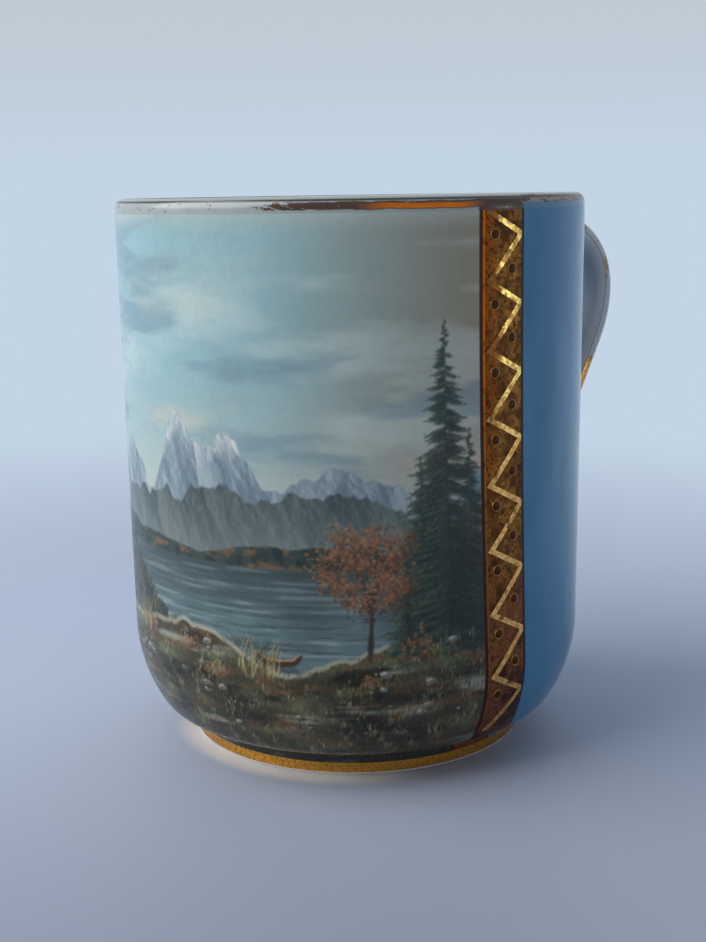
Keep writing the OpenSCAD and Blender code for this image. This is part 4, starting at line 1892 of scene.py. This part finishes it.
@dataclass(kw_only=True)
class Vessel(SubAssembly):
    """The porcelain: body, foot ring, lip guard and handle."""

    handle: HandleForm
    finish: Porcelain = Porcelain()
    # The guard's glaze is rougher, as worn; its white is greyer than the body's, painted shade on its flat
    # top, which faces the light
    worn: Porcelain = Porcelain(name="worn_shaded_porcelain", white=rgb(190, 190, 186), shade=rgb(176, 177, 174),
                                rough=(0.4, 0.52), coat=0.0)
    # Painted shade: the handle's porcelain is a greyer copy of the body's white, standing in for the shade
    # the handle lies in beside the cup
    shaded_grip: Porcelain = Porcelain(name="handle_porcelain_shaded", white=rgb(176, 180, 183), shade=rgb(160, 165, 169),
                                coat=0.3)
    foot_w: float = 3.6 * MM
    foot_round: float = 0.6 * MM
    foot_steps: int = 6
    guard_low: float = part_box("lip_guard")[0][2]
    guard_steps: int = 5

    def build(self) -> None:
        """Builds and dresses the porcelain pieces."""
        material = self.finish.material()
        self.hang(self.body(), material, Slot.PORCELAIN, "cup_body")
        self.hang(self.foot(), material, Slot.PORCELAIN, "foot_ring")
        self.hang(self.guard(), self.worn.material(), Slot.PORCELAIN, "lip_guard")
        bar = smooth(self.handle.bar("ear_handle"), SHARP)
        self.hang(bar, self.shaded_grip.material(), Slot.PORCELAIN, "handle")

    def body(self) -> Piece:
        """Turns the body: base, heel, wall, lip and inside.

        Returns:
            The body.
        """
        wall = self.wall
        inside = wall.line(-wall.wall_t)[::-1]
        lip = wall.lip(0.0, -wall.lean, math.pi - wall.lean)
        section = [(0.0, wall.foot_h), *wall.line(0.0), *lip, *inside, (0.0, wall.foot_h + wall.wall_t)]
        return lathe("cup_wall", section, closed=False)

    def foot(self) -> Piece:
        """Turns the foot ring with its two rounded lower edges.

        Returns:
            The ring.
        """
        wall, ease = self.wall, self.foot_round
        inner, outer = (np.array((r, ease)) for r in (wall.foot_r - self.foot_w + ease, wall.foot_r - ease))
        section = [
            *arc(inner, ease, -math.pi, -math.pi / 2, self.foot_steps), (inner[0], 0.0),
            *arc(outer, ease, -math.pi / 2, 0.0, self.foot_steps), (wall.foot_r, ease),
            (wall.foot_r, wall.foot_h), (wall.foot_r - self.foot_w, wall.foot_h),
        ]
        return lathe("foot_rim", section)

    def guard(self) -> Piece:
        """Cuts the guard's plan, thickens it and rounds its edges.

        Returns:
            The guard.
        """
        plan = GuardPlan(self.wall)
        outline = [(x, y, self.guard_low) for x, y in plan.outline(plan.wall_r + self.wall.wall_t / 2)]
        piece = slab("mustache_guard", outline, plan.top - self.guard_low)
        modify(piece, "BEVEL", width=GUARD_ROUND, segments=self.guard_steps, limit_method="ANGLE",
               angle_limit=SHARP)
        return smooth(piece)


@dataclass(kw_only=True)
class Picture(SubAssembly):
    """The painted panel opposite the handle, in three coats one above the other."""

    plan: BandPlan
    finish: PictureEnamel = PictureEnamel()
    cell: float = 0.193 * MM
    under_cell: float = 3 * MM
    parts: tuple[str, ...] = ("near_bank", "lake_and_trees", "sky")
    pitch: float = 0.13
    seed: int = 7

    def build(self) -> None:
        """Builds, paints and dresses the three coats."""
        material = self.finish.material()
        half, foot, top = self.plan.picture_half, self.wall.low_y, self.wall.paint_high
        canvas = Canvas((-half / MM, foot / MM), (half / MM, top / MM), self.pitch, self.seed)
        LakePicture(canvas).paint()
        levels = np.linspace(foot, top, len(self.parts) + 1).tolist()
        for name, (low, high) in zip(self.parts, pairwise(levels)):
            piece = sheet(f"picture_{name}", (-half, low), (half, high), self.cell, COAT_T)
            thin_underside(piece, self.under_cell)
            self.paint(piece, canvas)
            self.wall.wrap(piece, self.plan.picture_turn)
            self.hang(smooth(piece), material, Slot.PICTURE, "picture_panel")

    def paint(self, piece: Piece, canvas: Canvas) -> None:
        """Gives each corner of a flat coat the picture's colour there.

        Args:
            piece: The coat.
            canvas: The picture.
        """
        x, y, _ = corners_of(piece).T / MM
        colours = np.ones((len(x), 4))
        colours[:, :3] = canvas.light_at(x, y)
        layer = piece.data.color_attributes.new(PAINT, "FLOAT_COLOR", "POINT")
        layer.data.foreach_set("color", colours.ravel())


@dataclass(kw_only=True)
class BlueGround(SubAssembly):
    """The plain blue coat on the handle's side, kept clear of the handle's seats."""

    plan: BandPlan
    handle: HandleForm
    finish: BlueEnamel = BlueEnamel()
    cell: float = 0.9 * MM
    handle_clear: float = 0.3 * MM

    def build(self) -> None:
        """Builds and dresses the coat."""
        half = self.plan.blue_half
        low, high = (-half, self.wall.low_y), (half, self.wall.paint_high)
        piece = sheet("blue_coat", low, high, self.cell, COAT_T)
        self.wall.wrap(piece, self.plan.blue_turn)
        cutter = self.handle.bar("seat_cutter", self.handle_clear)
        modify(piece, "BOOLEAN", operation="DIFFERENCE", object=cutter, solver="EXACT")
        bpy.data.objects.remove(cutter)
        self.hang(smooth(piece), self.finish.material(), Slot.BLUE, "blue_ground")


@dataclass(kw_only=True)
class Band(SubAssembly):
    """One ornament band: ground, side lines, gold stripe and zigzag, and ringed dots."""

    plan: BandPlan
    side: Side
    cell: float = 0.5 * MM
    line_w: float = 0.55 * MM
    stripe_w: float = 0.4 * MM
    zig_pitch: float = 10.5 * MM
    zig_drop: float = 5.9 * MM
    zig_lean: float = 1.9 * MM
    zig_bar: float = 1.4 * MM
    zig_crop: float = 0.6 * MM
    zig_clear: float = 0.1 * MM
    zig_cuts: int = 7
    dot_d: float = 1.8 * MM
    dot_rise: float = 0.25 * MM
    dot_inset: float = 1.9 * MM
    dot_sides: int = 20
    # Share of the rise that is upright, then shares of the radius and the rise of each step inwards
    dot_upright: float = 0.5
    dot_steps: tuple[Point, ...] = ((0.3, 0.3), (0.35, 0.2))
    ring_w: float = 0.2 * MM
    ring_sides: tuple[int, int] = (24, 8)
    ring_gold: Colour = rgb(176, 126, 66)
    ring_bare: Colour = rgb(92, 60, 28)
    ring_worn: float = 0.72

    @property
    def zig_low(self) -> float:
        """The zigzag's edge towards the picture."""
        return -self.plan.width / 2 + self.line_w + self.stripe_w + self.zig_clear

    @property
    def zig_high(self) -> float:
        """The zigzag's edge towards the handle."""
        return self.plan.width / 2 - self.line_w - self.zig_clear

    @property
    def zig_foot(self) -> float:
        """Height where the zigzag ends."""
        return self.wall.foot_h + self.wall.heel_r / 2

    @property
    def bends(self) -> dict[int, float]:
        """Heights of the zigzag's bends before it leans.

        Returns:
            The heights by number, the even ones on the picture's side.
        """
        top = self.wall.height - self.zig_drop + self.zig_pitch / 2
        count = 2 * math.ceil((top - self.zig_foot) / self.zig_pitch)
        return {i: top - i * self.zig_pitch / 2 for i in range(-1, count + 1)}

    @property
    def bar_end(self) -> Point:
        """The way across a bar's end, tilted so that steep and flat bars are equally thick.

        Returns:
            Its step across and up.
        """
        level = self.zig_high + self.zig_crop - self.zig_low - self.zig_bar
        steep, flat = self.zig_pitch / 2 + self.zig_lean, self.zig_pitch / 2 - self.zig_lean
        long, short = math.hypot(level, steep), math.hypot(level, flat)
        return self.zig_bar, self.zig_bar * (steep * short - flat * long) / (short + long) / level

    @property
    def dot_places(self) -> list[Point]:
        """Places of the dots, by turns on the zigzag's two sides.

        Returns:
            Their distances across the band and their heights.
        """
        inner, outer = self.zig_low + self.dot_inset, self.zig_high - self.dot_inset
        lowest = self.zig_foot + self.dot_d
        return [(inner if i % 2 else outer, z) for i, z in self.bends.items() if i > 0 and z > lowest]

    def build(self) -> None:
        """Builds and dresses the band's pieces."""
        word = self.side.word
        ring = Gilt(name=f"{word}_ring_gold", gold=self.ring_gold, bare=self.ring_bare,
                    worn_from=self.ring_worn)
        self.hang(self.ground(), BandLustre(plan=self.plan).material(), Slot.LUSTRE, f"{word}_band_ground")
        self.hang(self.lines(), LineEnamel(plan=self.plan).material(), Slot.RED, f"{word}_band_lines")
        self.hang(self.zigzag(), ZigzagGold(plan=self.plan).material(), Slot.GILDING, f"{word}_zigzag")
        self.hang(self.stripe(), StripeLustre().material(), Slot.GILDING, f"{word}_zigzag")
        self.hang(self.dots(), DotEnamel().material(), Slot.DOT, f"{word}_dots")
        self.hang(self.rings(), ring.material(), Slot.GILDING)

    def turn(self, x: Array, r: Array, z: Array) -> Array:
        """Angle round the cup of a distance across this band."""
        return self.side.value * (self.plan.angle - self.plan.turn(x, r, z))

    def lay(self, piece: Piece, by_height: bool = False) -> Piece:
        """Lays a flat piece on the band, or mirrored on the rear one.

        Args:
            piece: The piece.
            by_height: Whether its y are heights, and not measured up the surface.

        Returns:
            The same piece, smooth.
        """
        self.wall.wrap(piece, self.turn, by_height)
        if self.side is Side.REAR:
            with editing(piece):
                bpy.ops.mesh.flip_normals()
        return smooth(piece)

    def ground(self) -> Piece:
        """Lays the band's ground between its two lines.

        Returns:
            The ground.
        """
        half = self.plan.width / 2 - self.line_w
        low, high = (-half, self.wall.low_y), (half, self.wall.paint_high)
        return self.lay(sheet(f"{self.side.word}_band_coat", low, high, self.cell, COAT_T))

    def lines(self) -> Piece:
        """Lays a dark line along each side of the band.

        Returns:
            Both lines.
        """
        half = self.plan.width / 2
        low, high = (-half, self.wall.low_y), (self.line_w - half, self.wall.paint_high)
        line = sheet(f"{self.side.word}_side_lines", low, high, self.cell, COAT_T)
        return self.lay(copies(line, [(self.plan.width - self.line_w, 0, 0)]))

    def zigzag(self) -> Piece:
        """Draws the zigzag's bars as one strip and trims it.

        Returns:
            The zigzag.
        """
        end = self.bar_end
        left, right, low = self.zig_low, self.zig_high + self.zig_crop - self.zig_bar, end[1] / 2
        bends = [(right if i % 2 else left, z - low - (0 if i % 2 else self.zig_lean), 0.0)
                 for i, z in self.bends.items()]
        trims = (((0, self.wall.paint_high, 0), (0, 1, 0)), ((0, self.zig_foot, 0), (0, -1, 0)),
                 ((self.zig_high, 0, 0), (1, 0, 0)))
        piece = draw_line(f"{self.side.word}_gold_zigzag", bends, closed=False)
        with editing(piece):
            extrude(*end, 0)
            bpy.ops.mesh.select_all(action="SELECT")
            bpy.ops.mesh.subdivide(number_cuts=self.zig_cuts)
            for spot, outward in trims:
                bpy.ops.mesh.select_all(action="SELECT")
                bpy.ops.mesh.bisect(plane_co=spot, plane_no=outward, clear_outer=True)
            face_out()
            move(0, 0, COAT_T)
        if sum(face.normal.z for face in piece.data.polygons) < 0:
            with editing(piece):
                bpy.ops.mesh.flip_normals()
        modify(piece, "SOLIDIFY", thickness=GILT_T, offset=1)
        return self.lay(piece, by_height=True)

    def stripe(self) -> Piece:
        """Lays the stripe along the inside of the line on the picture's side.

        Returns:
            The stripe.
        """
        low = (-self.plan.width / 2 + self.line_w, self.zig_foot)
        high = (low[0] + self.stripe_w, self.wall.paint_high)
        piece = sheet(f"{self.side.word}_inner_stripe", low, high, self.cell, GILT_T, lift=COAT_T)
        return self.lay(piece, by_height=True)

    def strew(self, piece: Piece) -> Piece:
        """Copies a piece that is modelled at the first dot's place to the other dots.

        Args:
            piece: The piece.

        Returns:
            The piece with its copies, laid on the band.
        """
        (first_x, first_z), *others = self.dot_places
        steps = [(x - first_x, z - first_z, 0) for x, z in others]
        return self.lay(copies(piece, steps), by_height=True)

    def dots(self) -> Piece:
        """Models one low dome and copies it to every place.

        Returns:
            The dots.
        """
        radius = self.dot_d / 2 - self.ring_w
        piece = primitive(f"{self.side.word}_enamel_dots", bpy.ops.mesh.primitive_circle_add,
                          vertices=self.dot_sides, radius=radius, fill_type="NGON")
        with editing(piece):
            move(*self.dot_places[0], COAT_T)
            extrude(0, 0, self.dot_upright * self.dot_rise)
            for inset, rise in self.dot_steps:
                bpy.ops.mesh.inset(thickness=inset * radius, depth=rise * self.dot_rise)
            face_out()
        return self.strew(piece)

    def rings(self) -> Piece:
        """Models one thin gold ring round a dot and copies it to every place.

        Returns:
            The rings.
        """
        round_dot, round_wire = self.ring_sides
        piece = primitive(f"{self.side.word}_dot_rings", bpy.ops.mesh.primitive_torus_add,
                          major_radius=self.dot_d / 2 - self.ring_w / 2, minor_radius=self.ring_w / 2,
                          major_segments=round_dot, minor_segments=round_wire)
        with editing(piece):
            move(*self.dot_places[0], COAT_T)
        return self.strew(piece)


@dataclass(kw_only=True)
class Gilding(SubAssembly):
    """The gold lines on the rim, the foot, the guard and the handle."""

    handle: HandleForm
    rim_low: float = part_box("rim_gilding")[0][2]
    foot_low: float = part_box("foot_gilding")[0][2]
    foot_high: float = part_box("foot_gilding")[1][2]
    guard_w: float = 1.2 * MM
    line_angle: Point = (math.radians(-12), math.radians(46))
    line_ends: Point = (8 * MM, 8 * MM)
    line_start: float = 0.5
    line_grow: float = 0.35
    line_steps: int = 80
    line_corners: int = 7
    on_foot: Gilt = Gilt(name="foot_gilding", gold=rgb(232, 168, 72), worn_from=0.7)
    on_guard: Gilt = Gilt(name="guard_gilding", worn_from=0.6)
    # The handle's gold wears down to a greyer white like the handle's porcelain: painted shade
    on_handle: HandleGilt = HandleGilt(name="handle_gilding", gold=rgb(222, 172, 92), dull=rgb(166, 116, 56),
                                       bare=rgb(168, 172, 174), worn_from=0.56, patch=6 * MM)

    def build(self) -> None:
        """Builds and dresses the gold lines."""
        self.hang(self.rim(), RimGilt().material(), Slot.GILDING, "rim_gilding")
        self.hang(self.foot(), self.on_foot.material(), Slot.GILDING, "foot_gilding")
        self.hang(self.guard(), self.on_guard.material(), Slot.GILDING, "guard_gilding")
        self.hang(self.ears(), self.on_handle.material(), Slot.GILDING, "handle_gilding")

    def rim(self) -> Piece:
        """Turns the thin skin of gold over the rim's outside.

        Returns:
            The skin.
        """
        wall = self.wall
        inset = (wall.lip_c[1] - self.rim_low) * math.tan(wall.lean)
        outer, inner = (
            [(wall.rim_r + depth - inset, self.rim_low), *wall.lip(depth, -wall.lean, math.pi / 2)]
            for depth in (GILT_T, 0.0))
        return lathe("rim_gold", outer + inner[::-1])

    def foot(self) -> Piece:
        """Turns the gold line round the foot ring, its edges eased.

        Returns:
            The line.
        """
        inner, outer = self.wall.foot_r, self.wall.foot_r + GILT_T
        section = [(inner, self.foot_low), (outer, self.foot_low + GILT_T), (outer, self.foot_high - GILT_T),
                   (inner, self.foot_high)]
        return lathe("foot_gold", section)

    def guard(self) -> Piece:
        """Lays the gold lines along the guard's edge and its slot, on the flat of the guard.

        Returns:
            The lines.
        """
        plan, pieces = GuardPlan(self.wall), []
        for edge in (plan.edge, plan.slot_edge):
            near, far = (edge(inset, plan.wall_r) for inset in (GUARD_ROUND, GUARD_ROUND + self.guard_w))
            pieces.append(slab("guard_gold", [(x, y, plan.top) for x, y in near + far[::-1]], GILT_T))
        return smooth(join(pieces))

    def ears(self) -> Piece:
        """Lays a gold line along each outer edge of the handle.

        Returns:
            The lines.
        """
        first, run = self.line_ends[0], self.handle.length - sum(self.line_ends)
        sweep, pieces = np.linspace(*self.line_angle, self.line_corners), []
        for sign, turn in ((1, sweep), (-1, math.pi - sweep)):
            ring = [(*(radius * way(angle)), first)
                    for radius, angles in ((1.0, turn), (1 + GILT_T, turn[::-1])) for angle in angles]
            piece = slab("handle_gold", ring, run, self.line_steps)
            self.taper(piece, sign, first, run)
            self.handle.bend(piece)
            pieces.append(piece)
        return smooth(join(pieces), SHARP)

    def taper(self, piece: Piece, sign: int, first: float, run: float) -> None:
        """Narrows a line that is still straight towards its start, by moving its edge on the handle's side.

        Args:
            piece: The line.
            sign: 1 for the line on the handle's +X side before it is bent, -1 for the other.
            first: Where the line starts along the handle.
            run: The line's length.
        """
        x, y, z = corners_of(piece).T
        edge, share = self.line_angle[1], unit((z - first) / run / self.line_grow)
        width = self.line_start + (1 - self.line_start) * share
        angle, radius = edge + (np.arctan2(y, sign * x) - edge) * width, np.hypot(x, y)
        place_corners(piece, np.column_stack((sign * radius * np.cos(angle), radius * np.sin(angle), z)))


# The stage


@dataclass(frozen=True)
class Studio:
    """The camera at the photograph's angle, a pale floor and backdrop, a soft window and a small glint.

    Places of the lamps are given from the cup's axis to the camera's right, forward and up.
    """

    turn: float = math.radians(-129)
    distance: float = 249.7 * MM
    height: float = 94.64 * MM
    aside: float = -0.15 * MM
    pitch: float = math.radians(11.12)
    roll: float = math.radians(-0.92)
    focal_px: float = 1419.5
    sensor: float = 36.0
    clip_start: float = 10 * MM
    floor_r: float = 3.0
    floor_sides: int = 96
    room: Colour = (0.2, 0.18, 0.162)
    room_aside: float = 0.35
    room_end: Point = (-0.5, 0.6)
    backdrop: Colour = rgb(195, 212, 229)
    upper: Colour = rgb(191, 203, 213)
    upper_from: Point = (0.0, 0.12)
    aim: Place = (0, 0, 50 * MM)
    window: Place = (-0.6, -0.14, 0.5)
    window_size: float = 0.85
    window_power: float = 7.8
    glint: Place = (0.6, -0.16, 0.04)
    glint_size: float = 0.06
    glint_power: float = 0.06

    @property
    def forward(self) -> Vector:
        """The level direction that the camera looks in."""
        return Vector((-math.cos(self.turn), -math.sin(self.turn), 0))

    @property
    def right(self) -> Vector:
        """The level direction to the camera's right."""
        return self.forward.cross(Vector((0, 0, 1)))

    def spot(self, right: float, forward: float, up: float) -> Vector:
        """A place given from the cup's axis by the camera's directions."""
        return self.right * right + self.forward * forward + Vector((0, 0, up))

    def build(self) -> None:
        """Builds the stage."""
        self.camera()
        self.floor()
        self.backlight()
        self.lamp("window", self.spot(*self.window), self.window_size, self.window_power)
        self.lamp("glint", self.spot(*self.glint), self.glint_size, self.glint_power)

    def camera(self) -> None:
        """Sets up the camera."""
        data = bpy.data.cameras.new("photo_camera")
        data.sensor_fit, data.sensor_height = "VERTICAL", self.sensor
        data.lens = self.focal_px * self.sensor / PHOTO_HEIGHT
        data.clip_start = self.clip_start
        camera = bpy.data.objects.new("photo_camera", data)
        bpy.context.scene.collection.objects.link(camera)
        look = self.forward * math.cos(self.pitch) - Vector((0, 0, math.sin(self.pitch)))
        up = self.right.cross(look)
        turned = Matrix((self.right, up, -look)).transposed() @ Matrix.Rotation(self.roll, 3, "Z")
        place = self.spot(self.aside, -self.distance, self.height)
        camera.matrix_world = Matrix.Translation(place) @ turned.to_4x4()
        bpy.context.scene.camera = camera

    def floor(self) -> None:
        """Lays a wide round floor."""
        floor = primitive("studio_floor", bpy.ops.mesh.primitive_circle_add,
                          vertices=self.floor_sides, radius=self.floor_r, fill_type="NGON")
        finish = TableTop(backdrop=self.backdrop, forward=self.forward, right=self.right)
        floor.data.materials.append(finish.material())

    def backlight(self) -> None:
        """Sets a pale backdrop, and a dimmer room in front of the cup that is there as light alone."""
        world = bpy.data.worlds.new("room")
        world.use_nodes = True
        nodes = Nodes(world.node_tree)
        look = nodes.add("ShaderNodeTexCoord").outputs["Generated"]
        axis = (self.forward + self.room_aside * self.right).normalized()
        along = nodes.add("ShaderNodeVectorMath", look, axis, operation="DOT_PRODUCT")
        seen = nodes.mix(nodes.split(look)[2].spread(*self.upper_from), self.backdrop, self.upper)
        ahead = Signal(nodes, along.outputs["Value"]).spread(*self.room_end)
        lit = nodes.mix(ahead, self.room, self.backdrop)
        path = nodes.add("ShaderNodeLightPath").outputs
        share = path["Is Camera Ray"]
        for kind in ("Is Glossy Ray", "Is Transmission Ray"):
            share = nodes.math("MAXIMUM", share, path[kind])
        nodes.link(nodes.tree.nodes["Background"], Color=nodes.mix(share, lit, seen))
        bpy.context.scene.world = world

    def lamp(self, name: str, place: Vector, size: float, power: float) -> None:
        """Hangs one square soft lamp that faces the cup.

        Args:
            name: Its name.
            place: Its place.
            size: Its side.
            power: Its watts.
        """
        data = bpy.data.lights.new(name, "AREA")
        data.size, data.energy = size, power
        lamp = bpy.data.objects.new(name, data)
        bpy.context.scene.collection.objects.link(lamp)
        aim = Vector(self.aim) - place
        lamp.matrix_world = Matrix.Translation(place) @ aim.to_track_quat("-Z", "Y").to_matrix().to_4x4()


def main() -> None:
    """Builds the stage and the cup piece by piece."""
    logging.basicConfig(level=logging.INFO, format="%(message)s")
    bpy.context.scene.view_settings.view_transform = "Standard"
    wall = WallForm()
    plan, handle = BandPlan(wall), HandleForm(wall)
    Studio().build()
    parts = (
        Vessel(wall=wall, handle=handle),
        Picture(wall=wall, plan=plan),
        BlueGround(wall=wall, plan=plan, handle=handle),
        Band(wall=wall, plan=plan, side=Side.FRONT),
        Band(wall=wall, plan=plan, side=Side.REAR),
        Gilding(wall=wall, handle=handle),
    )
    for part in parts:
        part.build()


if __name__ == "__main__":
    main()
